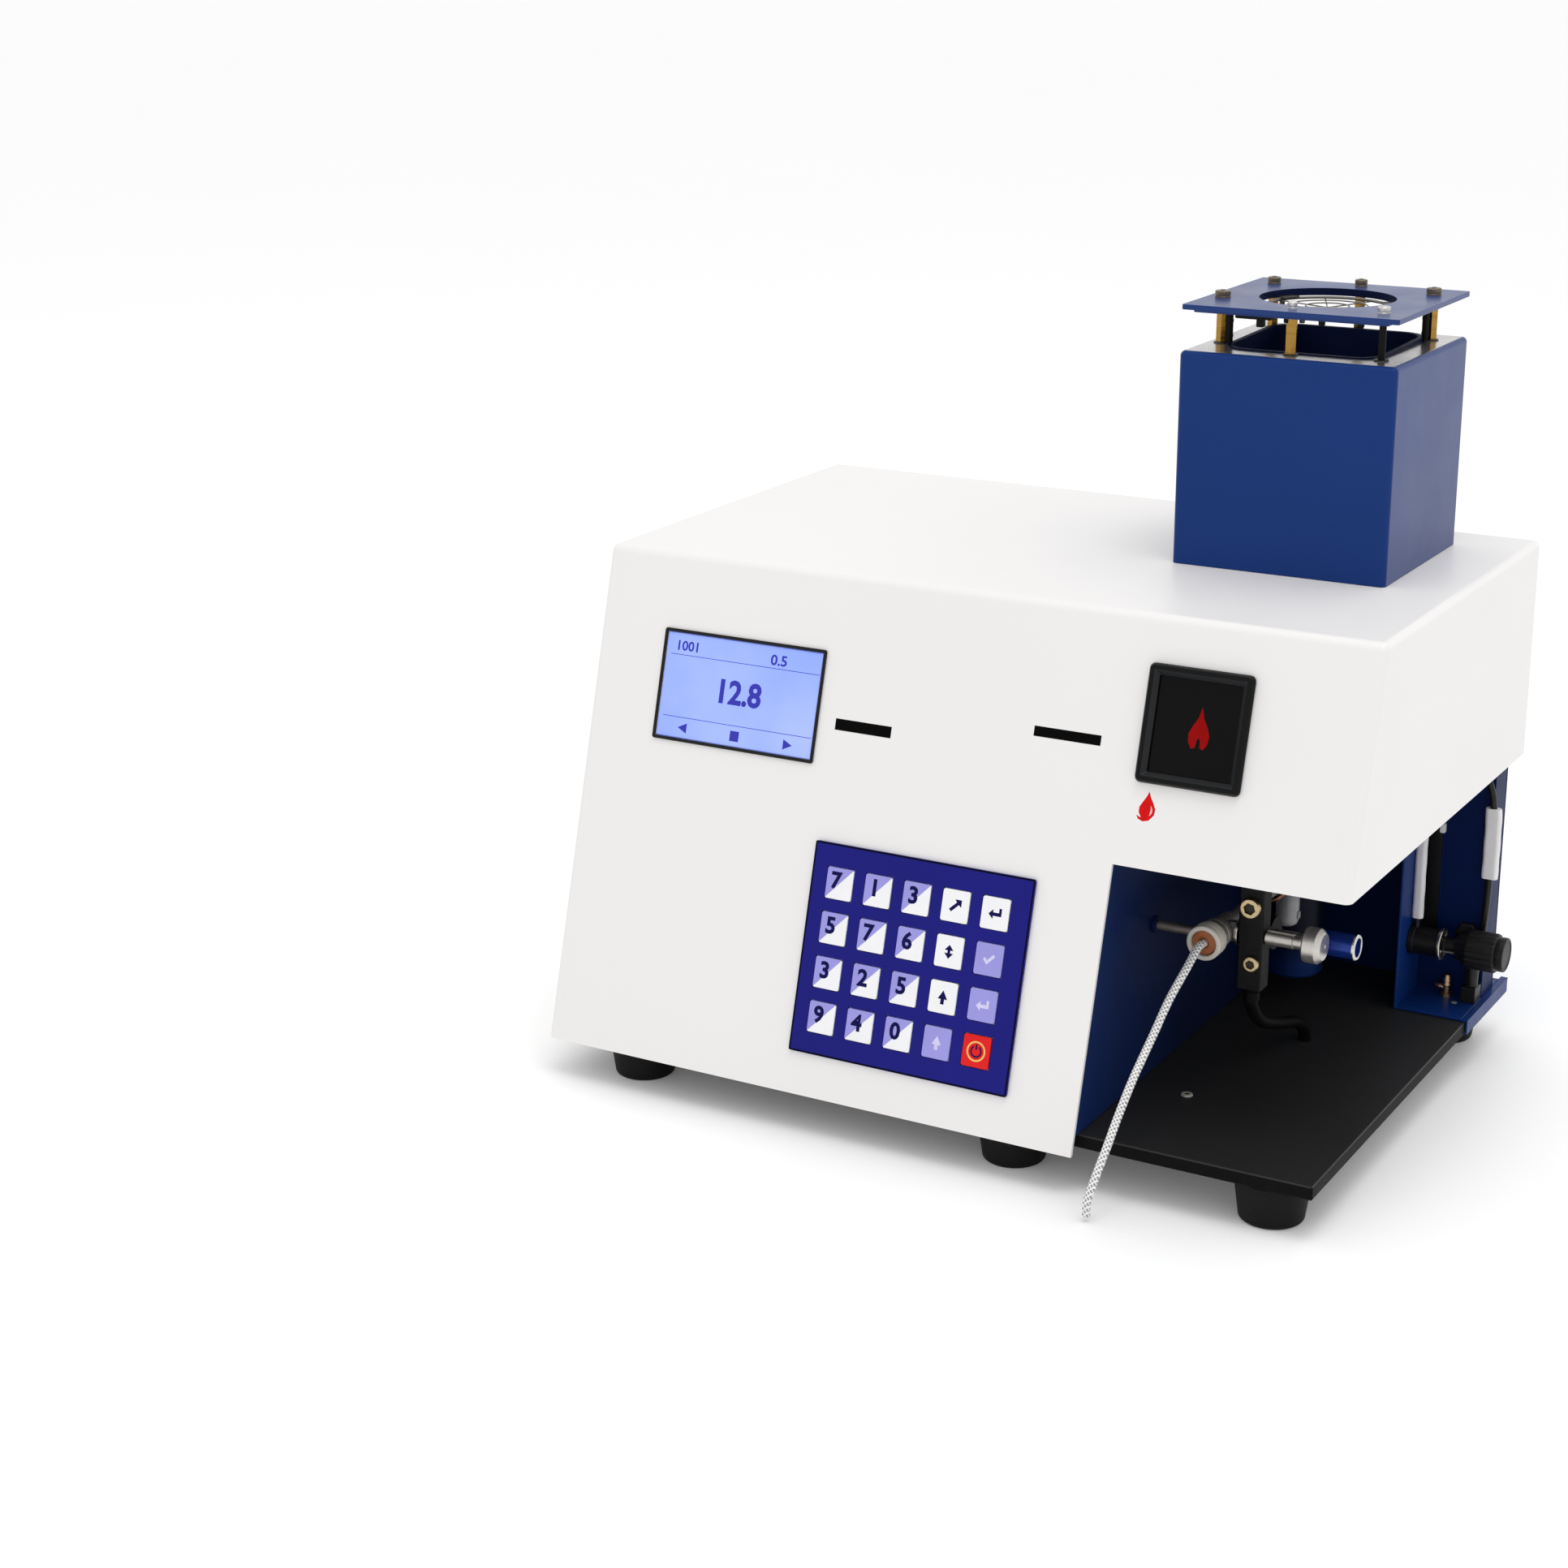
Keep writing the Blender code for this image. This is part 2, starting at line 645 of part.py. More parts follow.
def make_cover(frame):
    """White painted cover: top, sloping panel and sides folded from one sheet."""
    outer = extruded(case_side(0, cover_low, cover_back), cover_left, cover_right, "X")
    cover = piece("cover", folded(outer, cover_low, cover_back, COVER_FOLD_RADIUS), WHITE_PAINT)
    low, back = cover_low - OVERRUN, cover_back + OVERRUN
    hollow = extruded(
        case_side(COVER_SHEET, low, back), cover_left + COVER_SHEET, cover_right - COVER_SHEET, "X"
    )
    cut(cover, "hollow", folded(hollow, low, back, inner_fold))
    bay_high = (cover_right + OVERRUN, back, hood_edge)
    cut(cover, "bay", block((bay_left, cover_front - OVERRUN, low), bay_high))
    rim = DISPLAY_RIM
    display_hole = block(
        (DISPLAY_LEFT + rim, rim - DISPLAY_DROP - DISPLAY_HEIGHT, -OVERRUN),
        (DISPLAY_LEFT + DISPLAY_WIDTH - rim, -DISPLAY_DROP - rim, OVERRUN),
    )
    cut(cover, "display_hole", display_hole, parent=frame)
    cut(cover, "window_hole", block(*window_box(GLASS_MARGIN + FIT_GAP, -OVERRUN, OVERRUN)), parent=frame)
    flue = rod(shield_radius - FLAME_SHIELD_WALL, inside_top - OVERRUN, cover_top + OVERRUN, ROUND_STEPS)
    cut(cover, "flue", flue, place=(burner_x, burner_y, 0))


def window_box(margin, low, high):
    """Corners of the window's clear opening, grown by a margin, in the panel's frame."""
    grow = margin - WINDOW_RIM
    return (
        (WINDOW_LEFT - grow, -WINDOW_DROP - WINDOW_HEIGHT - grow, low),
        (WINDOW_LEFT + WINDOW_WIDTH + grow, -WINDOW_DROP + grow, high),
    )


def make_base_plate():
    """Black base plate with a hole for the waste tube."""
    shape = block((inside_left, base_front, base_bottom), (cover_right, base_back, base_top))
    plate = piece("base_plate", shape, BLACK_PAINT)
    soften(plate, BASE_EDGE)
    hole = rod(WASTE_TUBE_RADIUS + FIT_GAP, base_bottom - OVERRUN, base_top + OVERRUN)
    cut(plate, "waste_hole", hole, place=(*waste_hole(), 0))


def waste_hole():
    """Middle of the hole that the waste tube leaves through."""
    return bay_left + WASTE_HOLE_FROM_WALL, nebuliser_y + WASTE_HOLE_SETBACK


def make_feet():
    """Six tapered rubber feet, three to a row, sharing one mesh."""
    top = FOOT_HEIGHT - FIT_GAP
    profile = [(0, 0)] + arc(
        (FOOT_SOLE_RADIUS - FOOT_ROUNDING, FOOT_ROUNDING), FOOT_ROUNDING, -90, 0, FOLD_STEPS
    )
    profile += [(FOOT_TOP_RADIUS, top - FOOT_COLLAR_HEIGHT), (FOOT_TOP_RADIUS, top), (0, top)]
    mesh = mesh_from("foot", turned(profile, ROUND_STEPS), BLACK_RUBBER, smooth=True)
    columns = {
        "left": cover_left + FOOT_LEFT_INSET,
        "middle": bay_left - FOOT_BAY_INSET,
        "right": cover_right - FOOT_RIGHT_INSET,
    }
    rows = {
        "front": base_front + FOOT_FRONT_INSET,
        "rear": base_back - FOOT_BACK_INSET,
    }
    for row, y in rows.items():
        for column, x in columns.items():
            foot = bpy.data.objects.new("foot_" + row + "_" + column, mesh)
            add_to_scene(foot, (x, y, 0), UPRIGHT, None)


def make_rear_panel():
    """Back wall with vent slots, set into the cover, on a flange that lies on the base plate."""
    outline = [
        (inside_left, on_base),
        (inside_right, on_base),
        (inside_right, inside_top - inner_fold),
        (inside_right - inner_fold, inside_top),
        (inside_left + inner_fold, inside_top),
        (inside_left, inside_top - inner_fold),
    ]
    panel = piece("rear_panel", extruded(outline, rear_panel_front, rear_panel_back, "Y"), BLUE_PAINT)
    flange_low = (inside_left + FIT_GAP, rear_panel_back - INNER_SHEET / 2, on_base)
    flange_high = (inside_right - FIT_GAP, rear_panel_back + REAR_FLANGE, on_base + INNER_SHEET)
    join(panel, "flange", block(flange_low, flange_high))
    slots = bmesh.new()
    slot_right = bay_left - VENT_FROM_BAY
    for index in range(VENT_COUNT):
        z = cover_top - VENT_FROM_TOP - index * VENT_PITCH
        low = (slot_right - VENT_LENGTH, rear_panel_front - OVERRUN, z - VENT_HEIGHT)
        block(low, (slot_right, rear_panel_back + OVERRUN, z), slots)
    cut(panel, "vents", slots)
    x, z = inlet_centre()
    half_width = INLET_BODY_WIDTH / 2 + FIT_GAP
    half_height = INLET_BODY_HEIGHT / 2 + FIT_GAP
    low = (x - half_width, rear_panel_front - OVERRUN, z - half_height)
    high = (x + half_width, rear_panel_back + OVERRUN, z + half_height)
    cut(panel, "inlet_hole", block(low, high))


def make_partition():
    """Blue wall between the electronics and the burner bay."""
    back = rear_panel_front - FIT_GAP
    outline = [
        (panel_back_y(on_base) + FIT_GAP, on_base),
        (panel_back_y(inside_top - inner_fold) + FIT_GAP, inside_top - inner_fold),
        (panel_back_y(inside_top) + FIT_GAP + inner_fold, inside_top),
        (back, inside_top),
        (back, on_base),
    ]
    wall_left = bay_left - INNER_SHEET
    partition = piece("partition_wall", extruded(outline, wall_left, bay_left, "X"), BLUE_PAINT)
    flange_front = panel_back_y(on_base) + PARTITION_FLANGE
    flange_low = (wall_left - PARTITION_FLANGE, flange_front, on_base)
    middle = wall_left + INNER_SHEET / 2
    join(partition, "flange", block(flange_low, (middle, back - FIT_GAP, on_base + INNER_SHEET)))
    port = rod(OPTICS_PORT_RADIUS, -OVERRUN, INNER_SHEET + OVERRUN)
    cut(partition, "optics_port", port, place=(wall_left, burner_y, view_height), turn=ALONG_X)


def make_display(frame):
    """Display module behind the panel and the thin black frame round it."""
    left, right = DISPLAY_LEFT, DISPLAY_LEFT + DISPLAY_WIDTH
    low, high = -DISPLAY_DROP - DISPLAY_HEIGHT, -DISPLAY_DROP
    outline = rounded_rectangle(left, low, right, high, DISPLAY_CORNER, 2)
    surround = extruded(outline, FIT_GAP, DISPLAY_PROUD + FIT_GAP)
    display_frame = piece("display_frame", surround, BLACK_PLASTIC, parent=frame)
    rim = DISPLAY_RIM
    opening = block((left + rim, low + rim, -OVERRUN), (right - rim, high - rim, OVERRUN))
    cut(display_frame, "opening", opening, parent=frame)
    gap = rim + FIT_GAP
    face_top = DISPLAY_PROUD / 2
    glass = block((left + gap, low + gap, -COVER_SHEET - FIT_GAP), (right - gap, high - gap, face_top))
    module = piece("display_module", glass, LIT_SCREEN, parent=frame)
    body_back = -COVER_SHEET - FIT_GAP
    margin = DISPLAY_BODY_MARGIN
    body = block(
        (left - margin, low - margin, body_back - DISPLAY_BODY_DEPTH), (right + margin, high + margin, body_back)
    )
    join(module, "body", body, parent=frame)


def make_window(frame):
    """Bevelled bezel and dark glass that the flame is watched through."""
    low_corner, high_corner = window_box(0, FIT_GAP, WINDOW_PROUD + FIT_GAP)
    rim, corner = WINDOW_RIM, WINDOW_CORNER
    rings = []
    for inset, height in ((0, FIT_GAP), (0, WINDOW_PROUD / 2), (WINDOW_BEVEL / 2, WINDOW_PROUD + FIT_GAP)):
        outline = rounded_rectangle(
            low_corner[0] - rim + inset,
            low_corner[1] - rim + inset,
            high_corner[0] + rim - inset,
            high_corner[1] + rim - inset,
            corner - inset,
            FOLD_STEPS,
        )
        rings.append([(a, b, height) for a, b in outline])
    bezel = piece("window_bezel", lofted(rings), BLACK_PLASTIC, parent=frame)
    cut(bezel, "opening", block(*window_box(0, -OVERRUN, WINDOW_PROUD + OVERRUN)), parent=frame)
    funnel = []
    for grow, height in ((0, WINDOW_LIP), (WINDOW_BEVEL + WINDOW_LIP, WINDOW_PROUD + FIT_GAP + WINDOW_LIP)):
        low, high = window_box(grow, height, height)
        outline = [(low[0], low[1]), (high[0], low[1]), (high[0], high[1]), (low[0], high[1])]
        funnel.append([(a, b, height) for a, b in outline])
    cut(bezel, "funnel", lofted(funnel), parent=frame)
    glass = block(*window_box(GLASS_MARGIN, -GLASS_THICKNESS, 0))
    piece("window_glass", glass, DARK_GLASS, parent=frame)


def key_places():
    """Row, column and centre of every key in the panel's frame."""
    for row in range(KEY_ROWS):
        for column in range(KEY_COLUMNS):
            across = KEYPAD_LEFT + KEY_MARGIN_LEFT + KEY_WIDTH / 2 + column * KEY_PITCH_ACROSS
            down = KEYPAD_DROP + KEY_MARGIN_TOP + KEY_HEIGHT / 2 + row * KEY_PITCH_DOWN
            yield row + 1, column + 1, across, -down


def make_keypad(frame):
    """Blue overlay with a hole for each of its sprung keys."""
    low, high = -KEYPAD_DROP - KEYPAD_HEIGHT, -KEYPAD_DROP
    outline = rounded_rectangle(KEYPAD_LEFT, low, KEYPAD_LEFT + KEYPAD_WIDTH, high, KEYPAD_CORNER, 2)
    plate = extruded(outline, FIT_GAP, FIT_GAP + KEYPAD_THICKNESS)
    overlay = piece("keypad_overlay", plate, KEYPAD_BLUE, parent=frame)
    holes = bmesh.new()
    half_width, half_height = KEY_WIDTH / 2, KEY_HEIGHT / 2
    for _, _, across, up in key_places():
        reach_across, reach_up = half_width + FIT_GAP, half_height + FIT_GAP
        block(
            (across - reach_across, up - reach_up, -OVERRUN), (across + reach_across, up + reach_up, OVERRUN), holes
        )
    cut(overlay, "key_holes", holes, parent=frame)
    rings = []
    rest = 2 * FIT_GAP + KEY_TRAVEL
    face = FIT_GAP + KEYPAD_THICKNESS + KEY_PROUD
    for inset, height in ((0, rest), (0, face - KEY_EDGE), (KEY_EDGE, face)):
        outline = rounded_rectangle(
            inset - half_width, inset - half_height, half_width - inset, half_height - inset, KEY_CORNER - inset, 2
        )
        rings.append([(a, b, height) for a, b in outline])
    mesh = mesh_from("key", lofted(rings), KEY_WHITE)
    for row, column, across, up in key_places():
        key = bpy.data.objects.new("key_" + str(row) + "_" + str(column), mesh)
        add_to_scene(key, (across, up, 0), UPRIGHT, frame)


def make_chimney():
    """Blue chimney box over the burner, open below, with a turned-up rim round its mouth."""
    half_width, half_depth = CHIMNEY_WIDTH / 2, CHIMNEY_DEPTH / 2
    outer = block((-half_width, -half_depth, chimney_low), (half_width, half_depth, chimney_top))

    def is_fold(edge):
        return any(vert.co.z > chimney_low + MERGE_DISTANCE for vert in edge.verts)

    round_edges(outer, is_fold, CHIMNEY_FOLD_RADIUS)
    centre = (burner_x, burner_y, 0)
    chimney = piece("chimney_housing", outer, BLUE_PAINT, place=centre, smooth=True)
    wall = CHIMNEY_SHEET
    inner_low = (wall - half_width, wall - half_depth, chimney_low - OVERRUN)
    inner = block(inner_low, (half_width - wall, half_depth - wall, chimney_top - wall))
    cut(chimney, "hollow", inner, place=centre)
    lip = CHIMNEY_LIP - wall
    rim = rounded_rectangle(
        lip - half_width, lip - half_depth, half_width - lip, half_depth - lip, CHIMNEY_RIM_CORNER
    )
    rim_low = chimney_top - wall / 2
    join(chimney, "rim", extruded(rim, rim_low, chimney_top + CHIMNEY_RIM_HEIGHT), place=centre)
    lip = CHIMNEY_LIP
    mouth = rounded_rectangle(
        lip - half_width, lip - half_depth, half_width - lip, half_depth - lip, CHIMNEY_MOUTH_CORNER
    )
    cut(chimney, "mouth", extruded(mouth, chimney_top - OVERRUN, chimney_top + OVERRUN), place=centre)


def make_guard_plate():
    """Plate on six brass pillars that keeps hands and things off the chimney's mouth."""
    half_width = CHIMNEY_WIDTH / 2 - GUARD_INSET
    half_depth = CHIMNEY_DEPTH / 2 - GUARD_INSET
    centre = (burner_x, burner_y, 0)
    plate = block((-half_width, -half_depth, guard_low), (half_width, half_depth, guard_top))
    guard = piece("guard_plate", plate, BLUE_PAINT, place=centre)
    hole = rod(GUARD_HOLE_RADIUS, guard_low - OVERRUN, guard_top + OVERRUN, ROUND_STEPS)
    cut(guard, "hole", hole, place=centre)
    nut_top = guard_top + PILLAR_NUT_HEIGHT
    tip_top = nut_top + PILLAR_TIP_HEIGHT
    profile = [
        (0, chimney_top + FIT_GAP),
        (PILLAR_RADIUS, chimney_top + FIT_GAP),
        (PILLAR_RADIUS, guard_top - GUARD_THICKNESS / 2),
        (PILLAR_NUT_RADIUS, guard_top - GUARD_THICKNESS / 2),
        (PILLAR_NUT_RADIUS, nut_top),
        (PILLAR_TIP_RADIUS, nut_top),
        (PILLAR_TIP_RADIUS, tip_top),
        (0, tip_top),
    ]
    pillars = bmesh.new()
    for across_share, back_share in PILLAR_PLACE_SHARES:
        spot = (half_width * (2 * across_share - 1), half_depth * (2 * back_share - 1))
        turned(profile, 12, shape=pillars, centre=spot)
    join(guard, "pillars", pillars, place=centre)


def make_wire_guard():
    """Wire grid in a ring, clipped under the guard plate's hole."""
    top = guard_low - FIT_GAP
    ring_outer, ring_inner = WIRE_RING_RADIUS + WIRE_SIZE, WIRE_RING_RADIUS - WIRE_SIZE
    low = top - 2 * WIRE_SIZE
    centre = (burner_x, burner_y, 0)
    profile = [(ring_inner, low), (ring_outer, low), (ring_outer, top), (ring_inner, top)]
    guard = piece("wire_guard", turned(profile, ROUND_STEPS, ring=True), STEEL, place=centre)
    along_x, along_y = bmesh.new(), bmesh.new()
    half = WIRE_SIZE / 2
    for index in range(WIRE_COUNT):
        offset = (index - (WIRE_COUNT - 1) / 2) * WIRE_PITCH
        reach = math.sqrt(WIRE_RING_RADIUS**2 - offset**2)
        block((-reach, offset - half, low + half), (reach, offset + half, low + 3 * half), along_x)
        block((offset - half, -reach, low + 2 * half), (offset + half, reach, top - half / 2), along_y)
    join(guard, "wires_across", along_x, place=centre)
    join(guard, "wires_along", along_y, place=centre)
    for index in range(CLIP_COUNT):
        clip = block(
            (ring_inner + half, -CLIP_WIDTH / 2, top - WIRE_SIZE), (ring_outer + CLIP_REACH, CLIP_WIDTH / 2, top)
        )
        angle = math.tau * (index + 0.25) / CLIP_COUNT
        join(guard, "clip_" + str(index), clip, place=centre, turn=(0, 0, angle))


def make_burner_deck():
    """Shelf across the top of the bay that carries the burner, the block and the igniter."""
    left, right = bay_left + FIT_GAP, cover_right - DECK_RIGHT_INSET
    front, back = burner_y - DECK_FRONT_FROM_BURNER, rear_panel_front - FIT_GAP
    plate = block((left, front, deck_low), (right, back, deck_low + INNER_SHEET))
    deck = piece("burner_deck", plate, BLACK_PAINT)
    sheet, middle, flange_top = INNER_SHEET, deck_low + INNER_SHEET / 2, deck_low + DECK_FLANGE
    wall_low = (left, front + DECK_FLANGE, middle)
    join(deck, "wall_flange", block(wall_low, (left + sheet, back - DECK_FLANGE, flange_top)))
    back_low = (left + DECK_FLANGE, back - sheet, middle)
    join(deck, "back_flange", block(back_low, (right - DECK_FLANGE, back, flange_top)))
    hole = rod(BURNER_STEM_RADIUS + FIT_GAP, deck_low - OVERRUN, deck_low + INNER_SHEET + OVERRUN)
    cut(deck, "burner_hole", hole, place=(burner_x, burner_y, 0))


def make_mixing_chamber():
    """Blue mixing chamber hung under the deck, with a boss that takes the nebuliser."""
    low = base_top + CHAMBER_ABOVE_BASE
    top = deck_low - FIT_GAP
    flange_low = top - CHAMBER_FLANGE_HEIGHT
    profile = [
        (0, low),
        (CHAMBER_RADIUS - CHAMBER_RIM, low),
        (CHAMBER_RADIUS, low + CHAMBER_RIM),
        (CHAMBER_RADIUS, flange_low),
        (CHAMBER_FLANGE_RADIUS, flange_low),
        (CHAMBER_FLANGE_RADIUS, top),
        (0, top),
    ]
    place = (burner_x, burner_y, 0)
    chamber = piece("mixing_chamber", turned(profile), BLUE_ANODISED, place=place, smooth=True)
    boss = rod(BOSS_RADIUS, 0, CHAMBER_RADIUS + BOSS_LENGTH)
    join(chamber, "boss", boss, place=(nebuliser_x, burner_y, nebuliser_z), turn=ALONG_MINUS_Y)


def make_burner():
    """Burner stem through the deck, with a wide head below the window's middle."""
    top = view_height - BURNER_BELOW_VIEW
    head_low = top - BURNER_HEAD_HEIGHT
    port_radius = BURNER_HEAD_RADIUS - BURNER_PORT_DEPTH
    stem_low = deck_low + FIT_GAP / 2
    profile = [
        (0, stem_low),
        (BURNER_STEM_RADIUS, stem_low),
        (BURNER_STEM_RADIUS, head_low - BURNER_PORT_DEPTH),
        (BURNER_HEAD_RADIUS, head_low),
        (BURNER_HEAD_RADIUS, top),
        (port_radius, top),
        (port_radius, top - BURNER_PORT_DEPTH),
        (0, top - BURNER_PORT_DEPTH),
    ]
    piece("burner_tube", turned(profile), STEEL, place=(burner_x, burner_y, 0), smooth=True)


def make_flame_shield():
    """Round shield from the deck to the cover, with a view slot and an optics port."""
    low = deck_low + INNER_SHEET + FIT_GAP
    wall_inner = shield_radius - FLAME_SHIELD_WALL
    profile = [(wall_inner, low), (shield_radius, low), (shield_radius, inside_top), (wall_inner, inside_top)]
    place = (burner_x, burner_y, 0)
    shield = piece("flame_shield", turned(profile, ring=True), STEEL, place=place, smooth=True)
    half_width, half_height = VIEW_SLOT_WIDTH / 2, VIEW_SLOT_HEIGHT / 2
    slot_low = (-half_width, -shield_radius - OVERRUN, view_height - half_height)
    cut(shield, "view_slot", block(slot_low, (half_width, 0, view_height + half_height)), place=place)
    port = rod(OPTICS_PORT_RADIUS, 0, shield_radius + OVERRUN)
    cut(shield, "optics_port", port, place=(burner_x, burner_y, view_height), turn=ALONG_MINUS_X)


def make_nebuliser():
    """Nebuliser from the adjusting collar back to the chamber's boss."""
    front = (nebuliser_x, nebuliser_y, nebuliser_z)
    spigot_radius = COLLAR_BORE_RADIUS - FIT_GAP
    spigot_front = -SEAL_RECESS - SEAL_LENGTH - FIT_GAP
    body_front = -COLLAR_LENGTH - FIT_GAP
    body_back = body_front - NEBULISER_BODY_LENGTH
    neck_back = -(NEBULISER_FRONT_FROM_BURNER - CHAMBER_RADIUS - BOSS_LENGTH - FIT_GAP)
    profile = [
        (0, spigot_front),
        (spigot_radius, spigot_front),
        (spigot_radius, body_front),
        (NEBULISER_BODY_RADIUS, body_front),
        (NEBULISER_BODY_RADIUS, body_back),
        (NEBULISER_NECK_RADIUS, body_back - FIT_GAP),
        (NEBULISER_NECK_RADIUS, neck_back),
        (0, neck_back),
    ]
    body = piece("nebuliser_body", turned(profile), NICKEL, place=front, turn=ALONG_MINUS_Y, smooth=True)
    nut_reach = block_left - FIT_GAP - nebuliser_x
    nut_place = (nebuliser_x, block_y, nebuliser_z)
    join(body, "block_nut", rod(NEBULISER_NUT_SIZE, 0, nut_reach, 6), place=nut_place, turn=ALONG_X)
    edge = COLLAR_EDGE
    profile = [
        (COLLAR_BORE_RADIUS, -COLLAR_LENGTH),
        (COLLAR_RADIUS - edge, -COLLAR_LENGTH),
        (COLLAR_RADIUS, edge - COLLAR_LENGTH),
        (COLLAR_RADIUS, -edge),
        (COLLAR_RADIUS - edge, 0),
        (COLLAR_BORE_RADIUS, 0),
    ]
    ring = turned(profile, ring=True)
    piece("nebuliser_collar", ring, CREAM_PLASTIC, place=front, turn=ALONG_MINUS_Y, smooth=True)
    seal = rod(spigot_radius, -SEAL_RECESS - SEAL_LENGTH, -SEAL_RECESS)
    piece("nebuliser_seal", seal, ORANGE_SEAL, place=front, turn=ALONG_MINUS_Y, smooth=True)


def make_air_pipe():
    """Metal air pipe from the partition to the nebuliser's side."""
    length = NEBULISER_FROM_WALL - NEBULISER_BODY_RADIUS - 2 * FIT_GAP
    profile = [
        (0, 0),
        (AIR_PIPE_FLANGE_RADIUS, 0),
        (AIR_PIPE_FLANGE_RADIUS, AIR_PIPE_FLANGE_LENGTH),
        (AIR_PIPE_RADIUS, AIR_PIPE_FLANGE_LENGTH),
        (AIR_PIPE_RADIUS, length),
        (0, length),
    ]
    y = nebuliser_y + COLLAR_LENGTH + AIR_PIPE_SETBACK
    place = (bay_left + FIT_GAP, y, nebuliser_z)
    piece("air_pipe", turned(profile, SMALL_STEPS), NICKEL, place=place, turn=ALONG_X, smooth=True)


def make_valve_block():
    """Black block under the deck that joins gas, air and nebuliser, with a second valve behind it."""
    low = (block_left, block_front, block_low)
    back = block_front + BLOCK_DEPTH
    shape = block(low, (block_right, back, deck_low - FIT_GAP))
    valve_block = piece("valve_block", shape, BLACK_PLASTIC)
    soften(valve_block, BLOCK_EDGE)
    inset = BLOCK_EDGE
    neck_half = REAR_NECK_HEIGHT / 2
    neck = block(
        (block_left + inset, back - inset, rear_valve_z - neck_half),
        (block_right - inset, rear_valve_y, rear_valve_z + neck_half),
    )
    join(valve_block, "neck", neck)
    spindle_end = block_right + GRIP_START + VALVE_GRIP_LENGTH - GRIP_SOCKET_DEPTH - GRIP_WEB - FIT_GAP
    body_length = BLOCK_WIDTH - 2 * inset
    profile = [
        (0, 0),
        (REAR_VALVE_RADIUS, 0),
        (REAR_VALVE_RADIUS, body_length),
        (SPINDLE_RADIUS, body_length),
        (SPINDLE_RADIUS, spindle_end - block_left - inset),
        (0, spindle_end - block_left - inset),
    ]
    place = (block_left + inset, rear_valve_y, rear_valve_z)
    join(valve_block, "rear_valve", turned(profile, SMALL_STEPS), place=place, turn=ALONG_X)


def make_fuel_valve():
    """Fuel needle valve: a fixed stem, and the bevelled metal knob that turns on its end."""
    start = (block_right + FIT_GAP, block_y, nebuliser_z)
    knob_start = VALVE_STEM_LENGTH + FIT_GAP
    knob_end = knob_start + VALVE_KNOB_LENGTH
    dimple = knob_end - KNOB_DIMPLE_DEPTH
    spindle_end = dimple - GRIP_WEB - FIT_GAP
    profile = [
        (0, 0),
        (VALVE_STEM_RADIUS, 0),
        (VALVE_STEM_RADIUS, VALVE_STEM_LENGTH),
        (SPINDLE_RADIUS, VALVE_STEM_LENGTH),
        (SPINDLE_RADIUS, spindle_end),
        (0, spindle_end),
    ]
    piece("valve_stem", turned(profile, SMALL_STEPS), NICKEL, place=start, turn=ALONG_X, smooth=True)
    radius, depth, ribs = VALVE_KNOB_RADIUS, VALVE_KNOB_RIB_DEPTH, VALVE_KNOB_RIBS
    rings = [
        ribbed_ring(radius - COLLAR_EDGE, depth, ribs, knob_start),
        ribbed_ring(radius, depth, ribs, knob_start + COLLAR_EDGE),
        ribbed_ring(radius, depth, ribs, knob_end - VALVE_KNOB_BEVEL),
        ribbed_ring(radius - VALVE_KNOB_BEVEL, depth, ribs, knob_end),
    ]
    knob = piece("valve_knob", lofted(rings), NICKEL, place=start, turn=ALONG_X, smooth=True)
    bore = rod(SPINDLE_RADIUS + FIT_GAP, knob_start - OVERRUN, spindle_end + FIT_GAP, 12)
    cut(knob, "bore", bore, place=start, turn=ALONG_X)
    cut(knob, "dimple", rod(KNOB_DIMPLE_RADIUS, dimple, knob_end + OVERRUN, 12), place=start, turn=ALONG_X)


def make_grip():
    """Blue anodised grip with a bright end ring, on the spindle of the rear valve."""
    length = VALVE_GRIP_LENGTH
    socket_floor = length - GRIP_SOCKET_DEPTH
    bore_end = socket_floor - GRIP_WEB
    ring_start = length - GRIP_RING_LENGTH
    profile = [
        (SPINDLE_RADIUS + FIT_GAP, 0),
        (VALVE_GRIP_RADIUS, 0),
        (VALVE_GRIP_RADIUS, ring_start),
        (GRIP_RING_RADIUS, ring_start),
        (GRIP_RING_RADIUS, length),
        (GRIP_SOCKET_RADIUS, length),
        (GRIP_SOCKET_RADIUS, socket_floor),
        (0, socket_floor),
        (0, bore_end),
        (SPINDLE_RADIUS + FIT_GAP, bore_end),
    ]
    place = (block_right + GRIP_START, rear_valve_y, rear_valve_z)
    grip = turned(profile, SMALL_STEPS, ring=True)
    piece("valve_grip", grip, BLUE_ANODISED, place=place, turn=ALONG_X, smooth=True)


def make_igniter():
    """Ceramic igniter body hung from the deck, with a rounded lower end."""
    low = base_top + IGNITER_ABOVE_BASE
    top = deck_low - FIT_GAP
    flange_low = top - IGNITER_FLANGE_HEIGHT
    dome = arc((0, low + IGNITER_RADIUS), IGNITER_RADIUS, -90, 0, 5)
    profile = [(0, low)] + dome[1:]
    profile += [
        (IGNITER_RADIUS, flange_low),
        (IGNITER_FLANGE_RADIUS, flange_low),
        (IGNITER_FLANGE_RADIUS, top),
        (0, top),
    ]
    place = (bay_left + IGNITER_FROM_WALL, nebuliser_y + IGNITER_SETBACK, 0)
    piece("igniter", turned(profile, SMALL_STEPS), CERAMIC, place=place, smooth=True)


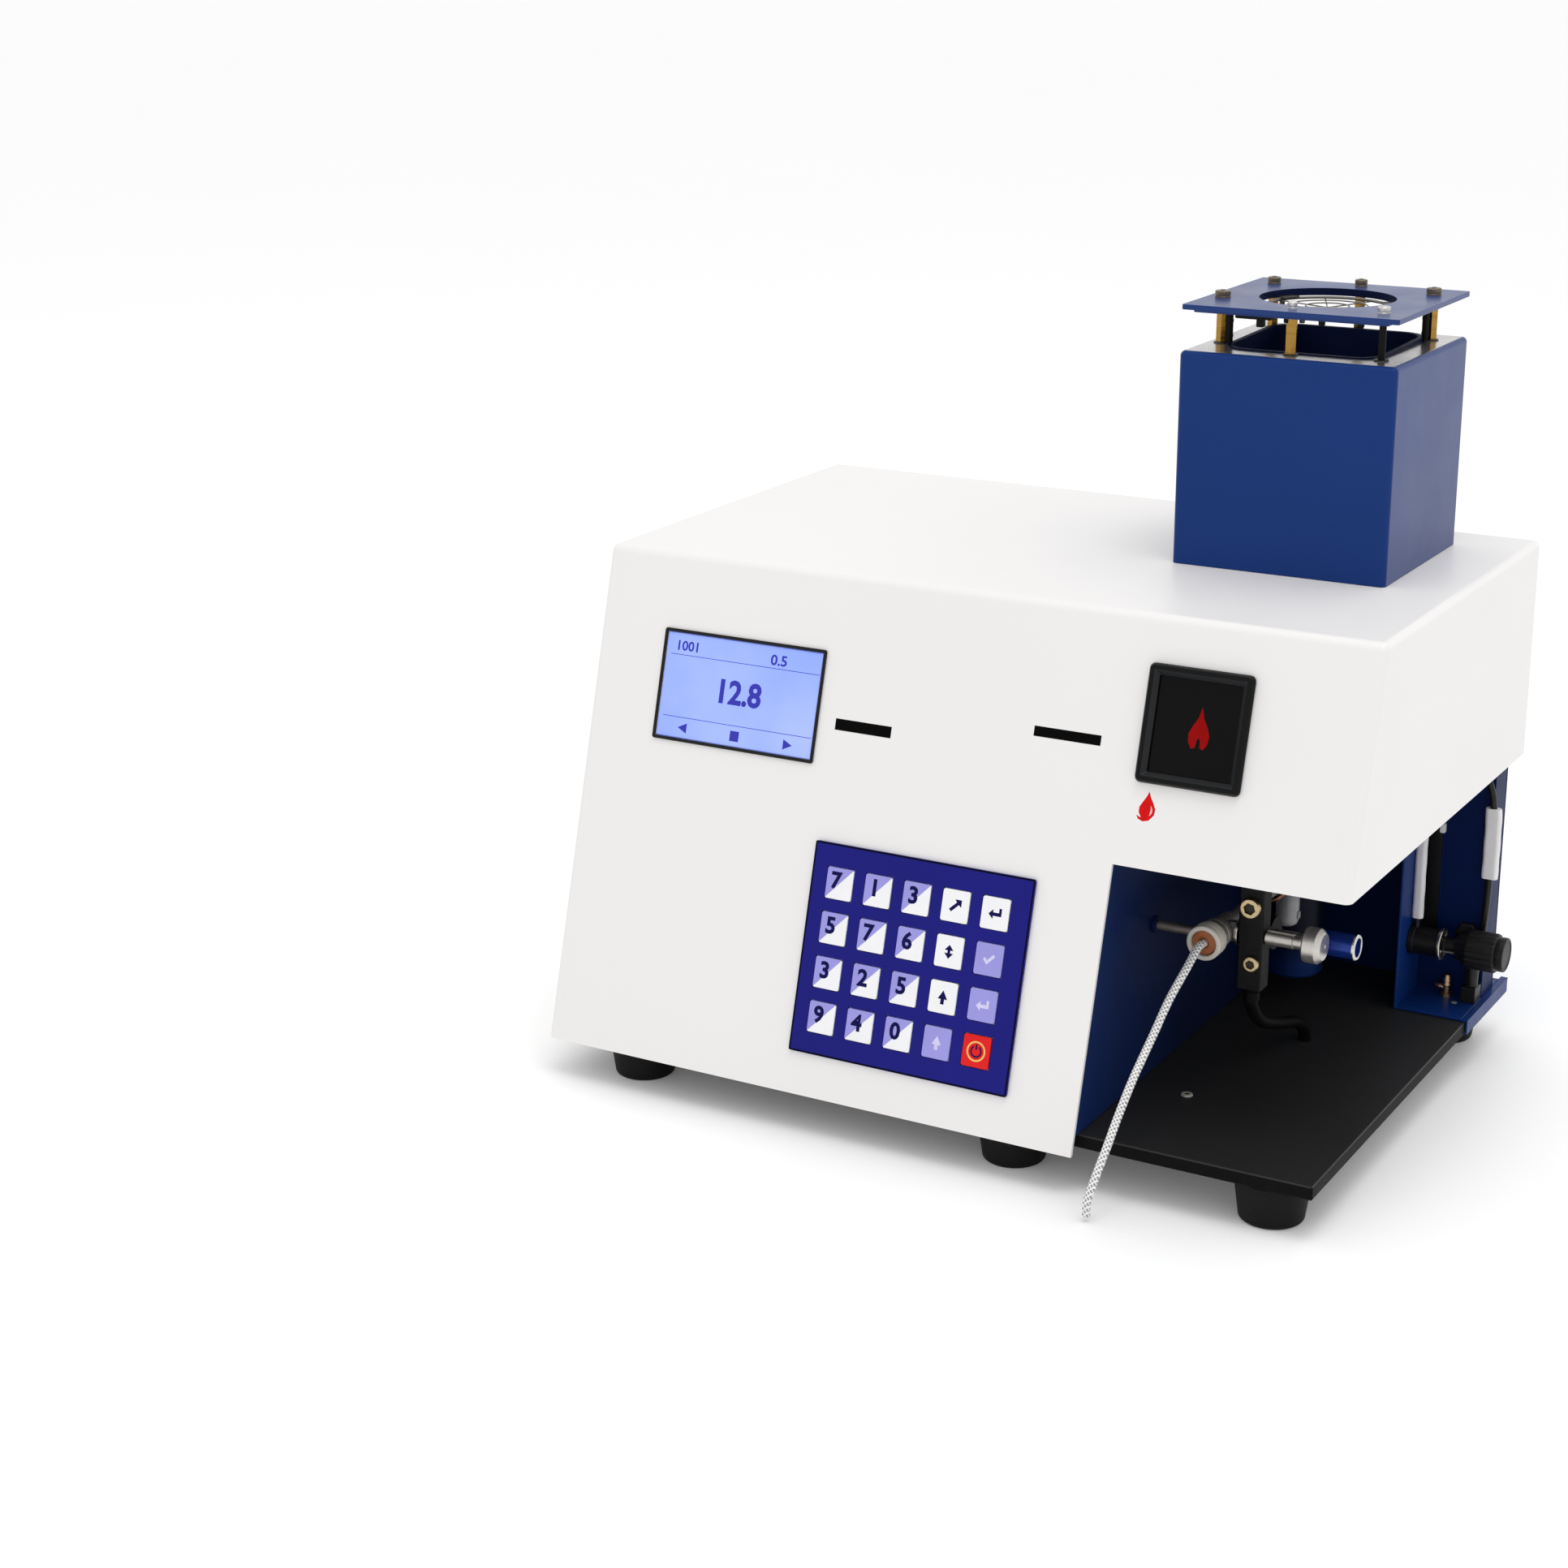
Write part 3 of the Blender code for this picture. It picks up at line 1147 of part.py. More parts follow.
def make_waste_tube():
    """Dark waste tube from the block's underside, curving down into the base plate."""
    x = (block_left + block_right) / 2
    end_x, end_y = waste_hole()
    start = Vector((x, block_y, block_low - FIT_GAP))
    end = Vector((end_x, end_y, base_top - WASTE_TUBE_SINK))
    drop = Vector((0, 0, base_top - start.z))
    across = Vector((end_x - x, end_y - block_y, 0))
    bends = [start + drop * down_share + across * away_share for down_share, away_share in WASTE_ROUTE_SHARES]
    route = [start, *bends, end]
    tube("waste_tube", smooth_route(route, 2 * WASTE_TUBE_RADIUS), WASTE_TUBE_RADIUS, BLACK_RUBBER)


def make_control_box():
    """Blue folded bracket in the bay's back corner that carries the air regulator."""
    low, high = on_base, hood_edge + BOX_LAP
    sheet = BOX_SHEET
    strip_back = rear_panel_front - FIT_GAP
    outline = [
        (box_left, box_front),
        (box_left + sheet, box_front),
        (box_left + sheet, box_back_wall - sheet),
        (box_right, box_back_wall - sheet),
        (box_right, strip_back),
        (box_right - sheet, strip_back),
        (box_right - sheet, box_back_wall),
        (box_left, box_back_wall),
    ]
    box = piece("control_box", extruded(outline, low, high), BLUE_PAINT)
    floor = block((box_left, box_front, low), (box_right, box_back_wall, low + sheet))
    join(box, "floor", floor)


def make_regulator():
    """Air regulator: body and spindle on the box's wall, and the ribbed knob on the spindle."""
    wall_face = box_left + BOX_SHEET + FIT_GAP
    start = (wall_face, regulator_y, regulator_z)
    knob_start = knob_left - wall_face
    knob_end = knob_start + KNOB_LENGTH
    ring_start = REGULATOR_BODY_LENGTH
    ring_end = ring_start + REGULATOR_RING_LENGTH
    spindle_end = knob_start + KNOB_BORE_DEPTH - FIT_GAP
    profile = [
        (0, 0),
        (REGULATOR_BODY_RADIUS, 0),
        (REGULATOR_BODY_RADIUS, ring_start),
        (REGULATOR_RING_RADIUS, ring_start),
        (REGULATOR_RING_RADIUS, ring_end),
        (REGULATOR_NECK_RADIUS, ring_end),
        (REGULATOR_NECK_RADIUS, knob_start - FIT_GAP),
        (SPINDLE_RADIUS, knob_start - FIT_GAP),
        (SPINDLE_RADIUS, spindle_end),
        (0, spindle_end),
    ]
    body = turned(profile, SMALL_STEPS)
    piece("regulator_body", body, BLACK_PLASTIC, place=start, turn=ALONG_X, smooth=True)
    cap_start = knob_end - KNOB_CAP_LENGTH
    taper_end = knob_start + KNOB_TAPER_LENGTH
    rings = [
        ribbed_ring(KNOB_NECK_RADIUS, 0, KNOB_RIBS, knob_start),
        ribbed_ring(KNOB_RADIUS, KNOB_RIB_DEPTH, KNOB_RIBS, taper_end),
        ribbed_ring(KNOB_RADIUS, KNOB_RIB_DEPTH, KNOB_RIBS, cap_start - KNOB_EDGE),
        ribbed_ring(KNOB_RADIUS - KNOB_EDGE, 0, KNOB_RIBS, cap_start),
        ribbed_ring(KNOB_CAP_RADIUS - KNOB_EDGE, 0, KNOB_RIBS, cap_start + FIT_GAP),
        ribbed_ring(KNOB_CAP_RADIUS, 0, KNOB_RIBS, cap_start + KNOB_EDGE),
        ribbed_ring(KNOB_CAP_RADIUS, 0, KNOB_RIBS, knob_end),
    ]
    knob = piece("regulator_knob", lofted(rings), BLACK_PLASTIC, place=start, turn=ALONG_X, smooth=True)
    bore = rod(SPINDLE_RADIUS + FIT_GAP, knob_start - OVERRUN, knob_start + KNOB_BORE_DEPTH, 12)
    cut(knob, "bore", bore, place=start, turn=ALONG_X)


def make_optics():
    """Lens, filter and detector tube on the partition, level with the flame."""
    profile = [
        (0, 0),
        (OPTICS_FLANGE_RADIUS, 0),
        (OPTICS_FLANGE_RADIUS, OPTICS_FLANGE_LENGTH),
        (OPTICS_TUBE_RADIUS, OPTICS_FLANGE_LENGTH),
        (OPTICS_TUBE_RADIUS, OPTICS_LENGTH - DETECTOR_LENGTH),
        (DETECTOR_RADIUS, OPTICS_LENGTH - DETECTOR_LENGTH),
        (DETECTOR_RADIUS, OPTICS_LENGTH),
        (0, OPTICS_LENGTH),
    ]
    place = (bay_left - INNER_SHEET - FIT_GAP, burner_y, view_height)
    piece("optics_tube", turned(profile), BLACK_PAINT, place=place, turn=ALONG_MINUS_X, smooth=True)


def make_main_board():
    """Circuit board on four posts behind the keypad."""
    left = inside_left + BOARD_LEFT_INSET
    front = panel_back_y(on_base) + BOARD_FRONT_INSET
    right, back = left + BOARD_WIDTH, front + BOARD_DEPTH
    low = on_base + BOARD_LIFT
    top = low + BOARD_THICKNESS
    board = piece("main_board", block((left, front, low), (right, back, top)), BOARD_GREEN)
    inset = BOARD_POST_INSET
    posts = bmesh.new()
    for x in (left + inset, right - inset):
        for y in (front + inset, back - inset):
            rod(BOARD_POST_RADIUS, on_base, low + BOARD_THICKNESS / 2, 8, shape=posts, centre=(x, y))
    join(board, "posts", posts)
    parts = bmesh.new()
    middle = low + BOARD_THICKNESS / 2
    for share in CHIP_ACROSS_SHARES:
        x, y = left + BOARD_WIDTH * share, front + BOARD_DEPTH * CHIP_BACK_SHARE
        block((x, y, middle), (x + CHIP_SIDE, y + CHIP_SIDE, top + CHIP_HEIGHT), parts)
    x, y = left + BOARD_WIDTH * CHIP_ACROSS_SHARES[0], front + BOARD_DEPTH * HEADER_BACK_SHARE
    block((x, y, middle), (x + HEADER_LENGTH, y + HEADER_WIDTH, top + HEADER_HEIGHT), parts)
    join(board, "parts", parts)


def make_transformer():
    """Mains transformer: laminated core, coil and two feet."""
    left = inside_left + TRANSFORMER_LEFT_INSET
    back = rear_panel_front - TRANSFORMER_BACK_INSET
    front, right = back - TRANSFORMER_DEPTH, left + TRANSFORMER_WIDTH
    top = on_base + TRANSFORMER_HEIGHT
    transformer = piece("power_transformer", block((left, front, on_base), (right, back, top)), IRON_CORE)
    bulge, margin = TRANSFORMER_COIL_BULGE, TRANSFORMER_COIL_MARGIN
    coil = block((left + margin, front - bulge, on_base + margin), (right - margin, back + bulge, top - margin))
    join(transformer, "coil", coil)
    foot = TRANSFORMER_FOOT
    feet = block((left - foot, front, on_base), (right + foot, back, on_base + TRANSFORMER_FOOT_THICKNESS))
    join(transformer, "feet", feet)


def inlet_centre():
    """Middle of the mains inlet on the rear panel, as (x, z)."""
    return cover_left + INLET_LEFT_INSET, base_top + INLET_ABOVE_BASE


def make_mains_inlet():
    """Appliance inlet with its fuse drawer, pushed through the rear panel from outside."""
    x, z = inlet_centre()
    outline = rounded_rectangle(
        -INLET_WIDTH / 2, -INLET_HEIGHT / 2, INLET_WIDTH / 2, INLET_HEIGHT / 2, INLET_CORNER
    )
    seat = rear_panel_back + FIT_GAP
    flange_back = seat + INLET_FLANGE_THICKNESS
    flange = extruded(outline, 0, INLET_FLANGE_THICKNESS, "Y")
    place = (x, seat, z)
    inlet = piece("mains_inlet", flange, BLACK_PLASTIC, place=place)
    body_half_width, body_half_height = INLET_BODY_WIDTH / 2, INLET_BODY_HEIGHT / 2
    body = block(
        (x - body_half_width, seat - INLET_BODY_DEPTH, z - body_half_height),
        (x + body_half_width, seat + INLET_FLANGE_THICKNESS / 2, z + body_half_height),
    )
    join(inlet, "body", body)
    drawer_half = INLET_DRAWER_WIDTH / 2
    drawer_top = z - INLET_DRAWER_DROP + INLET_DRAWER_HEIGHT / 2
    drawer = block(
        (x - drawer_half, seat, drawer_top - INLET_DRAWER_HEIGHT),
        (x + drawer_half, flange_back + INLET_DRAWER_PROUD, drawer_top),
    )
    join(inlet, "fuse_drawer", drawer)
    half_width, half_height = INLET_SOCKET_WIDTH / 2, INLET_SOCKET_HEIGHT / 2
    middle = z + INLET_SOCKET_RISE
    mouth = rounded_rectangle(
        x - half_width, middle - half_height, x + half_width, middle + half_height, INLET_SOCKET_CORNER
    )
    cut(inlet, "socket", extruded(mouth, flange_back - INLET_SOCKET_DEPTH, flange_back + OVERRUN, "Y"))


def make_sample_tube():
    """Clear tube that draws the sample up, from the nebuliser's seal down to the table."""
    start = Vector((nebuliser_x, nebuliser_y + SEAL_RECESS - FIT_GAP, nebuliser_z))
    route = [start]
    for right, forward, height in SAMPLE_TUBE_ROUTE_SHARES:
        x = nebuliser_x + right * SAMPLE_TUBE_SWAY
        route.append(Vector((x, nebuliser_y - forward * SAMPLE_TUBE_REACH, height * nebuliser_z)))
    tube("sample_tube", smooth_route(route, SAMPLE_TUBE_SPACING), SAMPLE_TUBE_RADIUS, CLEAR_TUBE)


def make_instrument():
    """Build every piece, from the base plate up."""
    clear_scene()
    frame = sloping_frame()
    make_base_plate()
    make_feet()
    make_rear_panel()
    make_partition()
    make_cover(frame)
    make_display(frame)
    make_window(frame)
    make_keypad(frame)
    make_burner_deck()
    make_mixing_chamber()
    make_burner()
    make_flame_shield()
    make_chimney()
    make_guard_plate()
    make_wire_guard()
    make_nebuliser()
    make_air_pipe()
    make_valve_block()
    make_fuel_valve()
    make_grip()
    make_igniter()
    make_waste_tube()
    make_control_box()
    make_regulator()
    make_optics()
    make_main_board()
    make_transformer()
    make_mains_inlet()
    make_sample_tube()


make_instrument()
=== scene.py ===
from math import cos, pi, radians, sin, tan, tau

import bmesh
import bpy
from mathutils import Matrix, Vector


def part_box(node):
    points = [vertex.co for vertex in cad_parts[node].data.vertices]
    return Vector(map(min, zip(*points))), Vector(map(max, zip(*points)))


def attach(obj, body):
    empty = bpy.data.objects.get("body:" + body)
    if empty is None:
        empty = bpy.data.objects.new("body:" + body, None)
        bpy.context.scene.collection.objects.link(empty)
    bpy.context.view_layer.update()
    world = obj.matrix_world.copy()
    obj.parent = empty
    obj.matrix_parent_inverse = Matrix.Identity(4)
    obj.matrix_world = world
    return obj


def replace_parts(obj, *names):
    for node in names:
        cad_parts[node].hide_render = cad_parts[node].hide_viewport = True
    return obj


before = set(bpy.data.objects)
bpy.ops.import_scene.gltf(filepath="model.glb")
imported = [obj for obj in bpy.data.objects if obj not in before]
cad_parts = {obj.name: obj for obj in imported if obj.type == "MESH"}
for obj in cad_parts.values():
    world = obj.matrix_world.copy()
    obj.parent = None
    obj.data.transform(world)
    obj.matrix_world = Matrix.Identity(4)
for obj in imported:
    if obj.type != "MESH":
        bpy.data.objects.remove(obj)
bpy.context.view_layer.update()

# Camera and studio: a long lens a little above the case and to its right, a pale table that
# runs past the edge of the picture, and soft boxes that leave faint shadows under the feet.
CAMERA_PLACE = (0.64405, -1.39398, 0.6533)
CAMERA_TURN, CAMERA_RISE, CAMERA_ROLL = (radians(angle) for angle in (30.39, 17.79, -0.37))
CAMERA_LENS = 66.0
ROOM_LIGHT = 0.96
SOFT_BOXES = (
    ("box_overhead", (0.35, -0.45, 2.3), (0.10, 0, 0.2), 1.2, 0.9, 10.5),
    ("box_high_right", (0.7, 0.5, 2.5), (0.12, 0, 0.2), 1.1, 0.9, 4),
    ("box_behind_right", (1.3, 2.1, 0.55), (0.15, 0.05, 0.25), 1.6, 0.9, 1.5),
)
TABLE_CORNER = 30.0
TABLE_WHITE, TABLE_GLOW = (0.95, 0.95, 0.95), 0.06
LOW_VALUE, HIGH_VALUE = 0.3, 0.7


def placed(name, data):
    """New object in the scene."""
    made = bpy.data.objects.new(name, data)
    bpy.context.scene.collection.objects.link(made)
    return made


def at(x, y, z=0.0):
    """Matrix that moves a piece to a place."""
    return Matrix.Translation((x, y, z))


def spin(angle, axis="Z"):
    """Matrix that turns a piece about one of its own axes."""
    return Matrix.Rotation(angle, 4, axis)


camera_data = bpy.data.cameras.new("camera")
camera_data.lens = CAMERA_LENS
camera = placed("camera", camera_data)
camera.matrix_world = (
    at(*CAMERA_PLACE) @ spin(CAMERA_TURN) @ spin(pi / 2 - CAMERA_RISE, "X") @ spin(CAMERA_ROLL)
)
bpy.context.scene.camera = camera
bpy.context.scene.view_settings.view_transform = "Standard"
for name, place, aim, width, height, power in SOFT_BOXES:
    light = bpy.data.lights.new(name, "AREA")
    light.shape, light.size, light.size_y, light.energy = "RECTANGLE", width, height, power
    lamp = placed(name, light)
    lamp.location = place
    lamp.rotation_euler = (Vector(aim) - Vector(place)).to_track_quat("-Z", "Y").to_euler()
    lamp.visible_camera = False


def adjust(node, values):
    """Set inputs of a shader or texture node by their names."""
    for name, value in values.items():
        node.inputs[name].default_value = value


room = bpy.data.worlds.new("room")
bpy.context.scene.world = room
room.use_nodes = True
adjust(room.node_tree.nodes["Background"], {"Color": (1, 1, 1, 1), "Strength": ROOM_LIGHT})


def shader_of(material):
    """Main shader of a material. Its id_data is the node tree."""
    return material.node_tree.nodes["Principled BSDF"]


def finish(name, colour, roughness, metal=0.0):
    """New material of one plain colour and gloss."""
    material = bpy.data.materials.new(name)
    material.use_nodes = True
    adjust(shader_of(material), {"Base Color": (*colour, 1), "Roughness": roughness, "Metallic": metal})
    return material


def noise(shader, scale, stretch=(1, 1, 1), detail=3.0):
    """Noise in the piece's own metres. Its scale is in waves per metre."""
    tree = shader.id_data
    place = tree.nodes.new("ShaderNodeTexCoord")
    mapping = tree.nodes.new("ShaderNodeMapping")
    texture = tree.nodes.new("ShaderNodeTexNoise")
    adjust(mapping, {"Scale": stretch})
    adjust(texture, {"Scale": scale, "Detail": detail})
    tree.links.new(place.outputs["Object"], mapping.inputs["Vector"])
    tree.links.new(mapping.outputs["Vector"], texture.inputs["Vector"])
    return texture.outputs["Fac"]


def vary(shader, inputs, value, low, high):
    """Drive inputs of a shader by a value of about 0.3 to 0.7, between two numbers or two colours."""
    tree = shader.id_data
    blend = tree.nodes.new("ShaderNodeValToRGB")
    colours = [end if isinstance(end, tuple) else (end, end, end) for end in (low, high)]
    for stop, place, colour in zip(blend.color_ramp.elements, (LOW_VALUE, HIGH_VALUE), colours):
        stop.position, stop.color = place, (*colour, 1)
    tree.links.new(value, blend.inputs["Fac"])
    for name in inputs:
        tree.links.new(blend.outputs["Color"], shader.inputs[name])


def bump(shader, value, depth):
    """Raise the surface by a value, depth in metres."""
    tree = shader.id_data
    relief = tree.nodes.new("ShaderNodeBump")
    adjust(relief, {"Strength": 1.0, "Distance": depth})
    tree.links.new(value, relief.inputs["Height"])
    tree.links.new(relief.outputs["Normal"], shader.inputs["Normal"])


def coat(name, colour, roughness, metal=0.0, shade=0.8, blotch=14, grain=1400, depth=0.00002, even=0.06,
         gloss=0.5, sheen=0.0):
    """Painted, moulded or plated surface: faint blotches, uneven gloss and a fine grain."""
    material = finish(name, colour, roughness, metal)
    shader = shader_of(material)
    adjust(shader, {"Specular IOR Level": gloss, "Sheen Weight": sheen, "Sheen Roughness": 0.3})
    vary(shader, ["Base Color"], noise(shader, blotch), tuple(channel * shade for channel in colour), colour)
    vary(shader, ["Roughness"], noise(shader, blotch * 6), roughness - even / 2, roughness + even / 2)
    bump(shader, noise(shader, grain, detail=2.0), depth)
    return material


table_paint = coat("table_paint", TABLE_WHITE, 0.6, shade=0.995, blotch=1.5, grain=90, depth=0.00001)
adjust(shader_of(table_paint), {"Emission Color": (1, 1, 1, 1), "Emission Strength": TABLE_GLOW})
table_mesh = bpy.data.meshes.new("table")
corners = [(x * TABLE_CORNER, y * TABLE_CORNER, 0) for x, y in ((-1, -1), (1, -1), (1, 1), (-1, 1))]
table_mesh.from_pydata(corners, [], [(0, 1, 2, 3)])
table_mesh.materials.append(table_paint)
table = placed("table", table_mesh)

# Sample tube: thin clear hose, with a fine braid in its wall, that draws the sample up into the
# nebuliser. It is pushed into the orange seal and hangs forward and down, with its open end just
# above the table.
TUBE_RADIUS, TUBE_LENGTH = 0.0022, 0.165
TUBE_EXIT = (0.1252, -0.0793, 0.1168)
TUBE_ROUTE = (
    TUBE_EXIT, (0.1252, -0.08765, 0.1168), (0.1245, -0.0982, 0.11038), (0.1213, -0.11321, 0.09694),
    (0.1192, -0.12823, 0.08199), (0.1178, -0.14815, 0.06599), (0.1168, -0.16316, 0.05139),
    (0.1160, -0.17605, 0.03714), (0.1134, -0.18319, 0.02324), (0.1108, -0.18617, 0.01145),
    (0.11065, -0.1867, 0.00327),
)
BRAID_WAVES = ((2500, -1950, -1900), (-3000, -1950, -1900))
BRAID_DARK, BRAID_PALE = (0.30, 0.295, 0.29), (0.92, 0.91, 0.91)
HOSE_ROUNDING = 6


def smooth_route(points, spacing):
    """Even points along a smooth curve through the given ones."""
    knots = [Vector(point) for point in points]
    ends = [2 * knots[0] - knots[1]] + knots + [2 * knots[-1] - knots[-2]]
    route = [knots[0]]
    for before, start, end, after in zip(ends, ends[1:], ends[2:], ends[3:]):
        steps = max(1, round((end - start).length / spacing))
        for step in range(1, steps + 1):
            share = step / steps
            bend = (2 * before - 5 * start + 4 * end - after) * share**2
            twist = (3 * start - before - 3 * end + after) * share**3
            route.append((2 * start + (end - before) * share + bend + twist) / 2)
    return route


def fitted(piece, body="case"):
    """Attach a piece to the body it rides on."""
    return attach(piece, body)


def hose(name, route, radius, material):
    """Round hose along a route."""
    curve = bpy.data.curves.new(name, "CURVE")
    curve.dimensions = "3D"
    curve.bevel_depth, curve.bevel_resolution, curve.use_fill_caps = radius, HOSE_ROUNDING, True
    spline = curve.splines.new("POLY")
    spline.points.add(len(route) - 1)
    for knot, point in zip(spline.points, route):
        knot.co = (*point, 1)
    spline.use_smooth = True
    curve.materials.append(material)
    return fitted(placed(name, curve))


clear_tube = coat("clear_tube", (0.90, 0.92, 0.95), 0.20, shade=0.93, blotch=260, grain=900, even=0.1)
tube_shader = shader_of(clear_tube)
adjust(tube_shader, {
    "Transmission Weight": 0.06, "Subsurface Weight": 0.25, "Subsurface Radius": (0.002, 0.002, 0.002),
    "Coat Weight": 0.6,
})
tree = tube_shader.id_data
braid = tree.nodes.new("ShaderNodeMath")
braid.operation = "MAXIMUM"
for index, wave in enumerate(BRAID_WAVES):
    across, strand = tree.nodes.new("ShaderNodeVectorMath"), tree.nodes.new("ShaderNodeMath")
    across.operation, strand.operation = "DOT_PRODUCT", "SINE"
    across.inputs[1].default_value = wave
    tree.links.new(tree.nodes.new("ShaderNodeTexCoord").outputs["Object"], across.inputs[0])
    tree.links.new(across.outputs["Value"], strand.inputs[0])
    tree.links.new(strand.outputs["Value"], braid.inputs[index])
vary(tube_shader, ["Base Color"], braid.outputs["Value"], BRAID_DARK, BRAID_PALE)
sample_tube = hose("sample_tube_clear", smooth_route(TUBE_ROUTE, 0.003), TUBE_RADIUS, clear_tube)
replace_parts(sample_tube, "sample_tube")

# Feet: six round rubber feet, wider at the top, moulded with a small collar and with a hollow in
# the sole for the screw that holds each to the base plate.
FOOT_SOLE, FOOT_TOP, FOOT_HEIGHT, FOOT_COLLAR = 0.0170, 0.0195, 0.0233, 0.0040
FOOT_HOLLOW, FOOT_HOLLOW_DEPTH = 0.006, 0.004


def middle(node):
    """Middle of a CAD node's box."""
    low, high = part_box(node)
    return (Vector(low) + Vector(high)) / 2


def weld(shape, gap=0.000001):
    """Join the points of a shape that touch."""
    bmesh.ops.remove_doubles(shape, verts=shape.verts, dist=gap)
    return shape


def moved(shape, matrix):
    """Move, turn or squeeze a whole shape."""
    bmesh.ops.transform(shape, matrix=matrix, verts=shape.verts)
    return shape


def turned(profile, steps=64, ring=False):
    """Spin (radius, height) points about Z. A ring's profile closes on itself."""
    shape = bmesh.new()
    points = [shape.verts.new((radius, 0, height)) for radius, height in profile]
    pairs = list(zip(points, points[1:])) + ([(points[-1], points[0])] if ring else [])
    edges = [shape.edges.new(pair) for pair in pairs]
    bmesh.ops.spin(
        shape, geom=points + edges, cent=(0, 0, 0), axis=(0, 0, 1), angle=tau, steps=steps, use_merge=True
    )
    return weld(shape)


def solid(name, shape, materials, body="case", place=None, sharp=32, node=None):
    """Finished piece: smooth faces, crisp edges, its materials, its body and the CAD node it shows."""
    if place is not None:
        moved(shape, place)
    bmesh.ops.recalc_face_normals(shape, faces=shape.faces)
    mesh = bpy.data.meshes.new(name)
    shape.to_mesh(mesh)
    shape.free()
    materials = materials if isinstance(materials, list) else [materials]
    for material in materials:
        mesh.materials.append(material)
    mesh.shade_smooth()
    mesh.set_sharp_from_angle(angle=radians(sharp))
    made = placed(name, mesh)
    made.modifiers.new("flat_faces", "WEIGHTED_NORMAL").keep_sharp = True
    fitted(made, body)
    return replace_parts(made, node) if node else made


def curve_between(start, end, bulge, steps=6):
    """Points of a rounded corner from start to end, round the corner point bulge."""
    start, end, bulge = Vector(start), Vector(end), Vector(bulge)
    points = []
    for step in range(steps + 1):
        share = step / steps
        points.append(tuple((1 - share) ** 2 * start + 2 * share * (1 - share) * bulge + share**2 * end))
    return points


foot_rubber = coat(
    "foot_rubber", (0.004, 0.004, 0.004), 0.6, shade=0.7, blotch=60, grain=1800, depth=0.00004, gloss=0.15
)
collar_low = FOOT_HEIGHT - FOOT_COLLAR
foot_profile = [(0, FOOT_HOLLOW_DEPTH), (FOOT_HOLLOW, FOOT_HOLLOW_DEPTH), (FOOT_HOLLOW, 0)]
foot_profile += curve_between((FOOT_SOLE - 0.003, 0), (FOOT_SOLE, 0.003), (FOOT_SOLE, 0))
foot_profile += curve_between(
    (FOOT_TOP - 0.0003, collar_low - 0.001), (FOOT_TOP, collar_low + 0.0006),
    (FOOT_TOP, collar_low - 0.0005), 3,
)
foot_profile += curve_between(
    (FOOT_TOP, FOOT_HEIGHT - 0.0008), (FOOT_TOP - 0.0008, FOOT_HEIGHT), (FOOT_TOP, FOOT_HEIGHT), 3
)
foot_profile += [(0, FOOT_HEIGHT)]
for row in ("front", "rear"):
    for column in ("left", "middle", "right"):
        foot = "foot_" + row + "_" + column
        spot = middle(foot)
        solid("rubber_" + foot, turned(foot_profile), foot_rubber, place=at(spot.x, spot.y), node=foot)

# Base plate: thick black plate with softened, lighter cut edges. It carries everything else, and
# one low socket screw shows in the bay.
BASE_SCREW, SCREW_RADIUS, SCREW_HEIGHT = (0.1204, -0.0822), 0.0032, 0.0010
BASE_ROLL, CUT_EDGE = 0.0005, 0.0012
BASE_DARK, BASE_BACK_LIGHT = (0.014, 0.014, 0.014), (0.026, 0.026, 0.026)
CAD_GAP, CAD_FLAT = 0.000002, radians(0.5)


def disc(radius, low, high, steps):
    """Plain turned cylinder."""
    return turned([(0, low), (radius, low), (radius, high), (0, high)], steps)


def prism(sides, radius, low, high):
    """Upright prism with a number of equal sides."""
    shape = bmesh.new()
    bmesh.ops.create_cone(
        shape, cap_ends=True, segments=sides, radius1=radius, radius2=radius, depth=high - low
    )
    return moved(shape, at(0, 0, (low + high) / 2))


def block(low, high):
    """Box between two corners."""
    low, high = Vector(low), Vector(high)
    shape = bmesh.new()
    bmesh.ops.create_cube(shape, size=1)
    bmesh.ops.scale(shape, verts=shape.verts, vec=high - low)
    bmesh.ops.translate(shape, verts=shape.verts, vec=(low + high) / 2)
    return shape


def roll_edges(shape, width, steps=3, chosen=None, from_angle=35):
    """Roll over the sharp edges of a shape, or only those that a test picks."""
    bmesh.ops.recalc_face_normals(shape, faces=shape.faces)
    sharp = [
        edge for edge in shape.edges
        if len(edge.link_faces) == 2 and edge.calc_face_angle(0) > radians(from_angle)
        and (chosen is None or chosen(edge))
    ]
    bmesh.ops.bevel(
        shape, geom=sharp, offset=width, segments=steps, profile=0.5, affect="EDGES", clamp_overlap=True
    )
    return shape


def flattened(shape):
    """Make the flat faces of a cut or imported shape whole again."""
    bmesh.ops.dissolve_limit(shape, angle_limit=CAD_FLAT, verts=shape.verts, edges=shape.edges)
    return shape


def rolled_node(name, node, materials, width, steps=3, sharp=32):
    """Show a CAD node with its edges rolled over."""
    shape = bmesh.new()
    shape.from_mesh(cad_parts[node].data)
    shape = roll_edges(flattened(weld(shape, CAD_GAP)), width, steps)
    return solid(name, shape, materials, sharp=sharp, node=node)


def repaint(piece, chosen):
    """Give the faces that a test picks the piece's second material."""
    for face in piece.data.polygons:
        if chosen(face):
            face.material_index = 1


def stand_in(name, shape):
    """Plain object of a shape, to be worked on."""
    bmesh.ops.recalc_face_normals(shape, faces=shape.faces)
    mesh = bpy.data.meshes.new(name)
    shape.to_mesh(mesh)
    shape.free()
    return placed(name, mesh)


